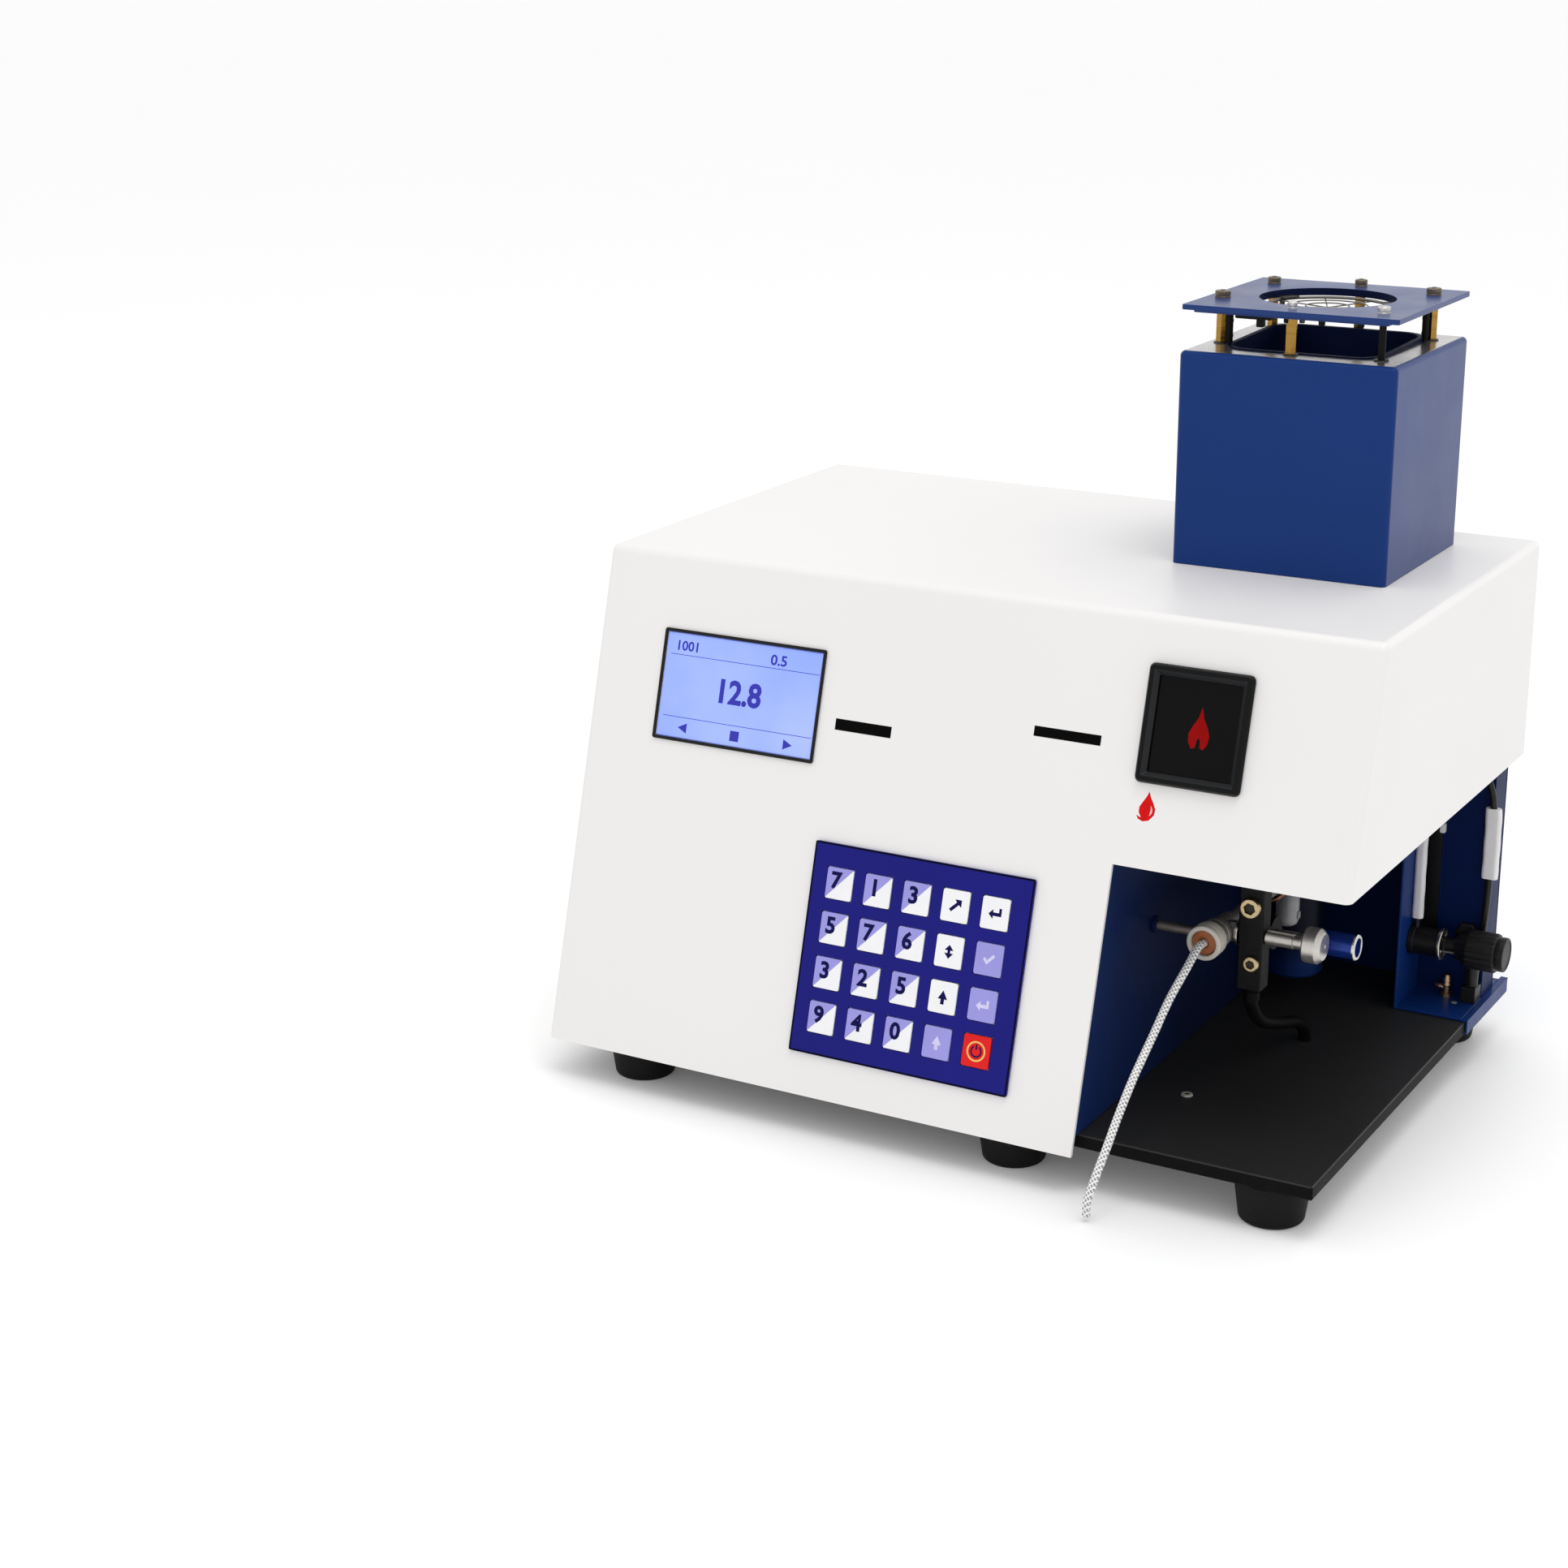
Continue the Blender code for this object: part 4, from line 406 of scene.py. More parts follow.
def worked(thing):
    """Shape of an object as its modifiers leave it. The object itself goes."""
    bpy.context.view_layer.update()
    mesh = bpy.data.meshes.new_from_object(thing.evaluated_get(bpy.context.evaluated_depsgraph_get()))
    bpy.data.objects.remove(thing)
    shape = bmesh.new()
    shape.from_mesh(mesh)
    return shape


def carved(name, shape, materials, cut=(), joined=(), roll=0.0, **rest):
    """Piece with shapes welded on and cut away, and its edges rolled if asked."""
    blank = stand_in("blank", shape)
    tools = []
    for operation, parts in (("UNION", joined), ("DIFFERENCE", cut)):
        for part in parts:
            tools.append(stand_in("tool", part))
            modifier = blank.modifiers.new("work", "BOOLEAN")
            modifier.operation, modifier.solver, modifier.object = operation, "EXACT", tools[-1]
    done = weld(worked(blank), CAD_GAP)
    for tool in tools:
        bpy.data.objects.remove(tool)
    if roll:
        roll_edges(flattened(done), roll)
    for face in done.faces:
        face.material_index = 0
    return solid(name, done, materials, **rest)


def screw_head(name, place, material, radius, height, cross=True, turn=0.0):
    """Domed screw head on its own Z axis, with a cross or hexagon drive sunk into it."""
    profile = [(0, -0.0004), (radius, -0.0004)]
    profile += curve_between((radius, height * 0.4), (radius * 0.62, height), (radius * 0.96, height * 0.95))
    drive = [prism(6, radius * 0.52, height * 0.25, height * 2.25)]
    if cross:
        long, wide = radius * 0.55, radius * 0.11
        drive = [
            moved(block((-long, -wide, height * 0.3), (long, wide, height * 3)), spin(angle + turn))
            for angle in (0, pi / 2)
        ]
    return carved(name, turned(profile + [(0, height)], 40), material, cut=drive, place=place)


def graded(material, axis, start, end, near, far):
    """Paint light or shade into a material's colour, changing slowly along one axis of the model."""
    tree = material.node_tree
    where, share = tree.nodes.new("ShaderNodeSeparateXYZ"), tree.nodes.new("ShaderNodeMapRange")
    adjust(share, {"From Min": start, "From Max": end, "To Min": LOW_VALUE, "To Max": HIGH_VALUE})
    tree.links.new(tree.nodes.new("ShaderNodeTexCoord").outputs["Object"], where.inputs["Vector"])
    tree.links.new(where.outputs[axis], share.inputs["Value"])
    vary(shader_of(material), ["Base Color"], share.outputs["Result"], near, far)
    return material


base_black = coat("base_black", BASE_DARK, 0.42, shade=0.92, grain=2200, depth=0.00001, even=0.05, gloss=0.28)
# Painted light: the plate's black grows lighter towards the back of the bay, against the shade there.
graded(base_black, "Y", -0.11, 0.13, BASE_DARK, BASE_BACK_LIGHT)
cut_edge = coat(
    "cut_edge", (0.0035, 0.0035, 0.0035), 0.5, shade=0.7, blotch=300, grain=2600, even=0.1, gloss=0.06
)
base = rolled_node("base_plate_black", "base_plate", [base_black, cut_edge], BASE_ROLL, 2)
base_low, base_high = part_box("base_plate")
repaint(base, lambda face: (
    face.center.z < base_high.z - 0.0004 and abs(face.normal.z) < 0.9
    and (face.center.x > base_high.x - CUT_EDGE or face.center.y < base_low.y + CUT_EDGE)
))
zinc = coat("zinc_plate", (0.40, 0.38, 0.33), 0.38, metal=0.25, shade=0.7, blotch=220, grain=1500)
# Black for the rear screws, and painted shade for the floor of the base screw's socket.
screw_black_and_socket_shade = coat("screw_black_and_socket_shade", (0.006, 0.006, 0.006), 0.5, blotch=200, gloss=0.1)
screw_place = at(*BASE_SCREW, base_high.z)
screw_head("base_screw", screw_place, zinc, SCREW_RADIUS, SCREW_HEIGHT, cross=False)
# Dark disc in the hexagon socket's floor: painted shade of the recess.
solid("base_screw_socket", disc(SCREW_RADIUS * 0.56, 0.0002, 0.0005, 24), screw_black_and_socket_shade, place=screw_place)

# Rear panel and mains inlet: blue painted back wall with vent slots, held by six screws, and the
# moulded black appliance inlet with its fuse drawer and brass pins, clipped into the wall.
WALL_ROLL = 0.0004
POWDER = {"blotch": 7, "grain": 1300, "depth": 0.000012}
PIN_PLACES = ((-0.007, -0.002), (0.007, -0.002), (0.0, 0.002))
PIN_RISE, PIN_HALF_WIDTH, PIN_HALF_HEIGHT = 0.0090, 0.001, 0.002
REAR_SCREW_RADIUS, REAR_SCREW_HEIGHT, REAR_SHEET = 0.0030, 0.0018, 0.0015
SCREW_INSET, SCREW_MIDDLE, SCREW_RISE, SCREW_DROP = 0.012, -0.006, 0.016, 0.014


def along(place, direction):
    """Matrix that lays a piece's own Z axis along a direction, from a place."""
    return Matrix.Translation(place) @ Vector(direction).to_track_quat("Z", "Y").to_matrix().to_4x4()


def add_shape(whole, part):
    """Add one shape to another."""
    mesh = bpy.data.meshes.new("part")
    part.to_mesh(mesh)
    part.free()
    whole.from_mesh(mesh)
    bpy.data.meshes.remove(mesh)
    return whole


blue_paint = coat("blue_paint", (0.005, 0.032, 0.166), 0.36, shade=0.90, gloss=0.12, sheen=0.40, **POWDER)
# Darker copy of the blue paint for faces inside the case and box: painted shade.
box_inside_shade = coat("box_inside_shade", (0.0022, 0.0120, 0.072), 0.42, shade=0.85, gloss=0.06, **POWDER)
rear = rolled_node("rear_panel_blue", "rear_panel", [blue_paint, box_inside_shade], WALL_ROLL, 2)
rear_low, rear_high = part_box("rear_panel")
# Painted shade: the panel's inner face and its right flange take the darker blue.
repaint(rear, lambda face: (
    face.normal.y < -0.9 or (face.normal.x > 0.9 and face.center.x > rear_high.x - 0.001)
))
black_moulding = coat("inlet_black", (0.006, 0.006, 0.0065), 0.42, blotch=50, grain=2400, gloss=0.2)
rolled_node("mains_inlet_black", "mains_inlet", black_moulding, 0.0006)
brass = coat("brass", (0.58, 0.38, 0.13), 0.20, metal=1.0, shade=0.78, blotch=120, grain=900, even=0.1)
inlet_back, inlet_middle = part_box("mains_inlet")[1].y, middle("mains_inlet")
pins = bmesh.new()
for across, up in PIN_PLACES:
    x, z = inlet_middle.x + across, inlet_middle.z + PIN_RISE + up
    add_shape(pins, block(
        (x - PIN_HALF_WIDTH, inlet_back - 0.0170, z - PIN_HALF_HEIGHT),
        (x + PIN_HALF_WIDTH, inlet_back - 0.0060, z + PIN_HALF_HEIGHT),
    ))
solid("inlet_pins", roll_edges(pins, 0.0003, 2), brass)
for column, x in enumerate((rear_low.x + SCREW_INSET, SCREW_MIDDLE, rear_high.x - SCREW_INSET)):
    for row, z in enumerate((rear_low.z + SCREW_RISE, rear_high.z - SCREW_DROP)):
        index = 2 * column + row
        screw_head(
            "rear_screw_" + str(index), along((x, rear_low.y + REAR_SHEET, z), (0, 1, 0)), screw_black_and_socket_shade,
            REAR_SCREW_RADIUS, REAR_SCREW_HEIGHT, turn=0.3 * index,
        )

# Partition: blue painted wall between the electronics and the burner bay, screwed to the base
# plate through its flange. Its port lets the flame's light through to the optics.
WALL_FRONT, WALL_BACK_SHADE = (0.0035, 0.0180, 0.0950), (0.0032, 0.0078, 0.0340)
inner_blue_shaded = coat(
    "inner_blue_shaded", (0.002, 0.009, 0.048), 0.42, shade=0.92, grain=1300, depth=0.000012, gloss=0.10
)
# Painted shade: the partition's blue is darker than the outer paint and darkens further towards the back.
graded(inner_blue_shaded, "Y", -0.17, -0.02, WALL_FRONT, WALL_BACK_SHADE)
partition = rolled_node("partition_blue", "partition_wall", inner_blue_shaded, WALL_ROLL, 2)

# Cover: top, sloping panel and sides folded from one steel sheet, powder coated off-white. The
# folds are rolled, and the display, window and flue openings are cut before painting.
SHEET, FOLD = 0.002, 0.004
PANEL_TILT, TOP_DEPTH = radians(15.85), 0.253
BAY_WIDTH, HOOD_HEIGHT = 0.1261, 0.1234
DISPLAY, DISPLAY_RIM = (0.0433, 0.0418, 0.1021, 0.0614), 0.0018
WINDOW, WINDOW_RIM = (0.330, 0.024, 0.0564, 0.0608), 0.0037
FLUE_RADIUS = 0.0231
CUT_REACH, CUT_PAST, FLUE_CUT = 0.006, 0.004, 0.01
cover_low, cover_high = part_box("cover")
panel_top_y = cover_high.y - TOP_DEPTH
panel = at(cover_low.x, panel_top_y, cover_high.z) @ spin(pi / 2 - PANEL_TILT, "X")
burner = middle("burner_tube")


def pushed(outline, way):
    """Closed flat outline pushed along a vector."""
    shape = bmesh.new()
    face = shape.faces.new([shape.verts.new(point) for point in outline])
    grown = bmesh.ops.extrude_face_region(shape, geom=[face])["geom"]
    points = [part for part in grown if isinstance(part, bmesh.types.BMVert)]
    bmesh.ops.translate(shape, verts=points, vec=way)
    return shape


def case_shape(inset, low, back, radius):
    """Case drawn in by a sheet's thickness, its folds rolled and its open mouths left sharp."""
    top, left, right = cover_high.z - inset, cover_low.x + inset, cover_high.x - inset
    slope_low, slope_top = (
        panel_top_y - (cover_high.z - z) * tan(PANEL_TILT) + inset / cos(PANEL_TILT) for z in (low, top)
    )
    side_view = ((slope_low, low), (slope_top, top), (back, top), (back, low))

    def is_fold(edge):
        """Whether an edge is clear of the open bottom and the open back."""
        ends = [vert.co for vert in edge.verts]
        at_bottom = all(end.z < low + 0.00001 for end in ends)
        at_back = all(end.y > back - 0.00001 for end in ends)
        return not at_bottom and not at_back

    shape = pushed([(left, y, z) for y, z in side_view], (right - left, 0, 0))
    return roll_edges(shape, radius, 8, is_fold, from_angle=5)


def opening(place, rim):
    """Block through the sloping panel, a rim inside its (left, drop, width, height)."""
    left, drop, width, height = place
    low, high = (left + rim, rim - drop - height, -CUT_REACH), (left + width - rim, -drop - rim, CUT_REACH)
    return moved(block(low, high), panel)


outer = case_shape(0, cover_low.z, cover_high.y, FOLD)
hollow_low, hollow_back = cover_low.z - CUT_PAST, cover_high.y + CUT_PAST
hollow = case_shape(SHEET, hollow_low, hollow_back, FOLD - SHEET)
bay_left, hood_edge = cover_high.x - BAY_WIDTH, cover_high.z - HOOD_HEIGHT
bay = block((bay_left, cover_low.y - CUT_PAST, hollow_low), (cover_high.x + CUT_PAST, hollow_back, hood_edge))
flue = moved(disc(FLUE_RADIUS, -FLUE_CUT, FLUE_CUT, 72), at(burner.x, burner.y, cover_high.z))
white_paint = coat(
    "white_paint", (0.79, 0.775, 0.765), 0.40, shade=0.985, blotch=5, grain=900, depth=0.000012, even=0.05
)
openings = [hollow, bay, opening(DISPLAY, DISPLAY_RIM), opening(WINDOW, WINDOW_RIM), flue]
carved("cover_white", outer, white_paint, cut=openings, node="cover")

# Display: thin black frame stuck round the opening, and a lit blue screen behind it that shows
# plain figures and rules in darker blue.
SCREEN_COLOUR, SCREEN_GLOW = (0.355, 0.46, 1.0), 0.25
SCREEN_DIM, SCREEN_LIT = (0.24, 0.335, 0.83), (0.33, 0.415, 0.91)
SCREEN_PRINT = (0.00045, 0.00055)
RULES_LEFT, RULES_RIGHT, RULE_DROPS = 0.0485, 0.1425, ((0.0555, 0.0558), (0.0897, 0.0900))
READINGS = (
    ("12.8", 0.0955, 0.0721, 0.0125, 0.95, 0.045), ("1001", 0.0588, 0.0506, 0.0052, 1.05, 0.03),
    ("0.5", 0.1166, 0.0511, 0.0055, 1.1, 0.03),
)
POINT_LEFT, POINT_RIGHT = ((-1, 0), (1, -1), (1, 1)), ((1, 0), (-1, -1), (-1, 1))
SQUARE = ((-1, -1), (1, -1), (1, 1), (-1, 1))
SCREEN_MARKS = ((0.0615, POINT_LEFT), (0.095, SQUARE), (0.1285, POINT_RIGHT))
MARKS_DROP, MARKS_SIZE = 0.0955, 0.0028
CAPITAL_HEIGHT = 0.70
rolled_node("display_frame_black", "display_frame", black_moulding, 0.0003, 2)
screen = finish("display_screen", SCREEN_COLOUR, 0.22)
screen_shader = shader_of(screen)
vary(screen_shader, ["Base Color", "Emission Color"], noise(screen_shader, 18), SCREEN_DIM, SCREEN_LIT)
adjust(screen_shader, {"Emission Strength": SCREEN_GLOW, "Specular IOR Level": 0.1})
rolled_node("display_screen", "display_module", screen, 0.0002, 1)
ink_blue = coat("screen_ink", (0.012, 0.012, 0.42), 0.3, shade=0.9, blotch=90, grain=1200)


def flat_shape(outline, low, high, across=0.0, up=0.0, size=1.0):
    """Closed (across, up) outline, sized and placed, pushed from low to high out of the panel."""
    return pushed([(across + a * size, up + b * size, low) for a, b in outline], (0, 0, high - low))


def bar(left, drop, right, low_drop, low, high):
    """Thin printed bar on the panel."""
    return flat_shape([(left, -low_drop), (right, -low_drop), (right, -drop), (left, -drop)], low, high)


def figure(text, across, drop, height, low, high, squeeze=1.0, heavy=0.03):
    """Plain printed figure with its middle at a place on the panel."""
    letters = bpy.data.curves.new("figure", "FONT")
    letters.body, letters.size = text, height / CAPITAL_HEIGHT
    letters.align_x, letters.align_y = "CENTER", "CENTER"
    letters.extrude, letters.resolution_u, letters.offset = (high - low) / 2, 3, heavy * height
    shape = weld(worked(placed("figure", letters)))
    reaches = [[vert.co[axis] for vert in shape.verts] for axis in (0, 1)]
    centre_x, centre_y = ((min(reach) + max(reach)) / 2 for reach in reaches)
    spread = Matrix.Diagonal((squeeze, 1, 1, 1))
    return moved(shape, at(across, -drop, (low + high) / 2) @ spread @ at(-centre_x, -centre_y))


shown = bmesh.new()
for drop, low_drop in RULE_DROPS:
    add_shape(shown, bar(RULES_LEFT, drop, RULES_RIGHT, low_drop, *SCREEN_PRINT))
for text, across, drop, height, squeeze, heavy in READINGS:
    add_shape(shown, figure(text, across, drop, height, *SCREEN_PRINT, squeeze, heavy))
for across, outline in SCREEN_MARKS:
    add_shape(shown, flat_shape(outline, *SCREEN_PRINT, across, -MARKS_DROP, MARKS_SIZE))
solid("display_figures", shown, ink_blue, place=panel, sharp=20)

# Flame window: bevelled black bezel with dark glass behind it, and a small red flame mark on the
# glass. The frame is pressed into the opening from outside.
BEVEL_START, BEVEL_END = 0.0034, 0.0059
FLAME_ACROSS, FLAME_UP, FLAME_SQUEEZE = 0.3604, -0.0537, 0.98
FLAME_OUTLINE = (
    (0.0, 0.0107), (0.0016, 0.0050), (0.0040, 0.0008), (0.0056, -0.0034), (0.0050, -0.0078),
    (0.0030, -0.0107), (0.0012, -0.0100), (0.0009, -0.0062), (0.0, -0.0048), (-0.0009, -0.0062),
    (-0.0014, -0.0100), (-0.0034, -0.0107), (-0.0054, -0.0076), (-0.0058, -0.0034), (-0.0040, 0.0006),
    (-0.0014, 0.0052),
)
MOULDED = {"shade": 0.85, "blotch": 40, "grain": 2600, "depth": 0.000015}
bezel_black = coat("window_bezel", (0.0035, 0.0038, 0.0042), 0.36, gloss=0.12, **MOULDED)
bezel_bevel_highlight = coat("bezel_bevel_highlight", (0.012, 0.013, 0.0145), 0.34, gloss=0.2, **MOULDED)


def from_rim(point):
    """Distance of a point inside the window's outer edge."""
    place = panel.inverted() @ point
    left, drop, width, height = WINDOW
    return min(place.x - left, left + width - place.x, -place.y - drop, drop + height + place.y)


bezel = rolled_node("window_bezel_frame", "window_bezel", [bezel_black, bezel_bevel_highlight], 0.0005, 4)
# Painted highlight: the bezel's sloped band is a lighter black than its rim.
repaint(bezel, lambda face: BEVEL_START < from_rim(face.center) < BEVEL_END)
dark_glass = coat(
    "window_glass", (0.003, 0.003, 0.003), 0.10, blotch=20, grain=60, depth=0.000001, even=0.02, gloss=0.08
)
rolled_node("window_glass_dark", "window_glass", dark_glass, 0.0003, 2)
mark_red = coat("mark_red", (0.28, 0.004, 0.004), 0.35, blotch=120, grain=900, gloss=0.03)
narrow_flame = [(a * FLAME_SQUEEZE, b) for a, b in FLAME_OUTLINE]
flame_mark = flat_shape(narrow_flame, -0.00003, 0.00008, FLAME_ACROSS, FLAME_UP)
solid("flame_mark", flame_mark, mark_red, place=panel, sharp=20)

# Printing on the panel: two black stripes beside the display, and a small red drop under the
# window with a pale glint and a curved foot. It is screen printed on the paint.
STRIPES = ((0.2710, 0.0647, 0.3085, 0.0700), (0.1557, 0.0770, 0.1894, 0.0831))
PRINT_LOW, PRINT_HIGH, GLINT_HIGH = 0.00001, 0.00008, 0.00010
DROP_HIGH, GLINT_LOW = 0.00006, 0.00007
DROP_PLACE = (0.3386, -0.0963)
DROP_OUTLINE = (
    (0.0, 0.0074), (0.0012, 0.0044), (0.0030, 0.0016), (0.0043, -0.0012), (0.0040, -0.0042),
    (0.0022, -0.0062), (-0.0002, -0.0070), (-0.0028, -0.0062), (-0.0044, -0.0036), (-0.0044, -0.0010),
    (-0.0030, 0.0016), (-0.0012, 0.0046),
)
GLINT_OUTLINE = (
    (0.0016, 0.0006), (0.0028, -0.0012), (0.0028, -0.0034), (0.0014, -0.0050), (0.0017, -0.0032),
    (0.0019, -0.0012),
)
WAVE_OUTLINE = (
    (-0.0054, -0.0052), (-0.0030, -0.0062), (0.0004, -0.0064), (0.0030, -0.0054), (0.0014, -0.0072),
    (-0.0016, -0.0080), (-0.0044, -0.0070),
)
print_black = coat("print_black", (0.002, 0.002, 0.002), 0.40, blotch=80, grain=1500, gloss=0.03)
print_red = coat("print_red", (0.66, 0.009, 0.009), 0.40, shade=0.85, blotch=150, grain=1500, gloss=0.03)
print_glint = coat("print_glint", (0.80, 0.45, 0.42), 0.40, shade=0.9, blotch=150)
stripes = bmesh.new()
for stripe in STRIPES:
    add_shape(stripes, bar(*stripe, PRINT_LOW, PRINT_HIGH))
solid("panel_stripes", stripes, print_black, place=panel, sharp=20)
drop_mark = flat_shape(DROP_OUTLINE, PRINT_LOW, DROP_HIGH, *DROP_PLACE)
add_shape(drop_mark, flat_shape(WAVE_OUTLINE, PRINT_LOW, PRINT_HIGH, *DROP_PLACE))
solid("drop_mark", drop_mark, print_red, place=panel, sharp=20)
drop_glint = flat_shape(GLINT_OUTLINE, GLINT_LOW, GLINT_HIGH, *DROP_PLACE)
solid("drop_glint", drop_glint, print_glint, place=panel, sharp=20)

# Keypad: deep blue printed film over twenty sprung keys, with a thin black border. Each key is a
# film dome, pale blue and white across its diagonal or in one colour, with a plain figure or sign.
KEYPAD = (0.1545, 0.1429, 0.1300, 0.1142)
KEY_SIZE, KEY_PITCH, KEY_START = (0.0158, 0.0169), (0.0231, 0.0242), (0.0096, 0.0127)
KEY_LOW, KEY_FACE, KEY_CORNER = 0.0011, 0.0023, 0.0012
KEY_LEVELS = (
    (0.0, KEY_LOW), (0.0, KEY_FACE - 0.0003), (0.0001, KEY_FACE - 0.0001), (0.0003, KEY_FACE - 0.00003),
    (0.0006, KEY_FACE),
)
KEY_PRINT = (KEY_FACE - 0.00005, KEY_FACE + 0.00003)
FILM_ROLL, FILM_FACE, BORDER = 0.00025, 0.0019, 0.0011
KEY_FIGURES, SPLIT_COLUMNS = ("713", "576", "325", "940"), 3
FIGURE_SHIFT, FIGURE_HEIGHT, FIGURE_WEIGHT, SIGN_SIZE = (-0.0018, -0.0016), 0.0086, 0.05, 0.0037
UP_ARROW = ((0, 1), (0.75, -0.25), (0.28, -0.25), (0.28, -1), (-0.28, -1), (-0.28, -0.25), (-0.75, -0.25))
SLANT_ARROW = (
    (0.95, 0.95), (0.95, -0.1), (0.55, 0.22), (-0.55, -0.85), (-0.9, -0.5), (0.2, 0.55), (-0.1, 0.95),
)
ENTER_ARROW = (
    (-1, -0.1), (-0.3, 0.6), (-0.3, 0.15), (0.6, 0.15), (0.6, 0.8), (1, 0.8), (1, -0.35), (-0.3, -0.35),
    (-0.3, -0.8),
)
UP_DOWN = (
    (0, 1), (0.7, 0.2), (0.22, 0.2), (0.22, -0.2), (0.7, -0.2), (0, -1), (-0.7, -0.2), (-0.22, -0.2),
    (-0.22, 0.2), (-0.7, 0.2),
)
TICK = ((-0.9, 0.0), (-0.6, 0.3), (-0.25, -0.1), (0.65, 0.8), (0.95, 0.5), (-0.25, -0.75))
SIGNS = {
    (1, 4): SLANT_ARROW, (1, 5): ENTER_ARROW, (2, 4): UP_DOWN, (3, 4): UP_ARROW, (2, 5): TICK,
    (3, 5): ENTER_ARROW, (4, 4): UP_ARROW,
}
POWER_KEY, POWER_RING, POWER_ARC, POWER_GAP = (4, 5), (0.0054, 0.0045), (0.0033, 0.0024), 0.55
POWER_STROKE = ((-0.00045, 0.0008), (0.00045, 0.0008), (0.00045, 0.0038), (-0.00045, 0.0038))
PALE_SIDE, DARK_INK, PALE_INK, YELLOW_INK = 1, 2, 3, 4
keypad_blue = coat(
    "keypad_overlay", (0.008, 0.008, 0.190), 0.34, shade=0.88, blotch=22, grain=1600, gloss=0.12
)
film_white = coat("key_film", (0.84, 0.84, 0.86), 0.36, shade=0.96, blotch=60, grain=1600)
film_pale = coat("film_pale", (0.30, 0.285, 0.70), 0.36, shade=0.92, blotch=60, grain=1600)
film_red = coat("film_red", (0.72, 0.012, 0.012), 0.34, shade=0.88, blotch=60, grain=1600, gloss=0.15)
ink_dark = coat("key_ink", (0.006, 0.006, 0.070), 0.40, shade=0.85, blotch=90, gloss=0.05)
ink_pale = coat("key_ink_pale", (0.62, 0.60, 0.86), 0.40, shade=0.9, blotch=90)
ring_yellow = coat("ring_yellow", (0.82, 0.50, 0.12), 0.36, shade=0.9, blotch=90)
films = {POWER_KEY: film_red, (2, 5): film_pale, (3, 5): film_pale, (4, 4): film_pale}
rolled_node("keypad_film", "keypad_overlay", keypad_blue, FILM_ROLL, 2)
left, drop, width, height = KEYPAD
far_side, far_down = width - FILM_ROLL, height - FILM_ROLL
border = bmesh.new()
for start, down, end, low_down in (
    (FILM_ROLL, FILM_ROLL, far_side, BORDER), (FILM_ROLL, height - BORDER, far_side, far_down),
    (FILM_ROLL, BORDER, BORDER, height - BORDER), (width - BORDER, BORDER, far_side, height - BORDER),
):
    place = (left + start, drop + down, left + end, drop + low_down)
    add_shape(border, bar(*place, FILM_FACE - 0.0002, FILM_FACE + 0.00005))
solid("keypad_border", border, print_black, place=panel, sharp=20)


def rounded_box(half_width, half_height, radius, steps=4):
    """Outline of a rounded rectangle about its middle."""
    outline = []
    for x, y, start in ((1, -1, -90), (1, 1, 0), (-1, 1, 90), (-1, -1, 180)):
        for step in range(steps + 1):
            angle = radians(start + 90 * step / steps)
            across, up = x * (half_width - radius), y * (half_height - radius)
            outline.append((across + radius * cos(angle), up + radius * sin(angle)))
    return outline


def stacked(rings):
    """Skin closed rings of equal point count and cap both ends."""
    shape = bmesh.new()
    loops = [[shape.verts.new(point) for point in ring] for ring in rings]
    for lower, upper in zip(loops, loops[1:]):
        for index in range(len(lower)):
            after = (index + 1) % len(lower)
            shape.faces.new((lower[index], lower[after], upper[after], upper[index]))
    shape.faces.new(list(reversed(loops[0])))
    shape.faces.new(loops[-1])
    return shape


def tube(inner, outer, low, high, steps):
    """Plain turned ring."""
    return turned([(inner, low), (outer, low), (outer, high), (inner, high)], steps, ring=True)


def open_ring(outer, inner, low, high, gap, steps=40):
    """Flat ring with a gap at its top."""
    start, end = pi / 2 + gap, pi / 2 + tau - gap
    angles = [start + (end - start) * step / steps for step in range(steps + 1)]
    outside = [(outer * cos(angle), outer * sin(angle)) for angle in angles]
    inside = [(inner * cos(angle), inner * sin(angle)) for angle in reversed(angles)]
    return flat_shape(outside + inside, low, high)


def add_print(key, shape, ink):
    """Print a shape on a key in one of its inks."""
    for face in shape.faces:
        face.material_index = ink
    add_shape(key, shape)


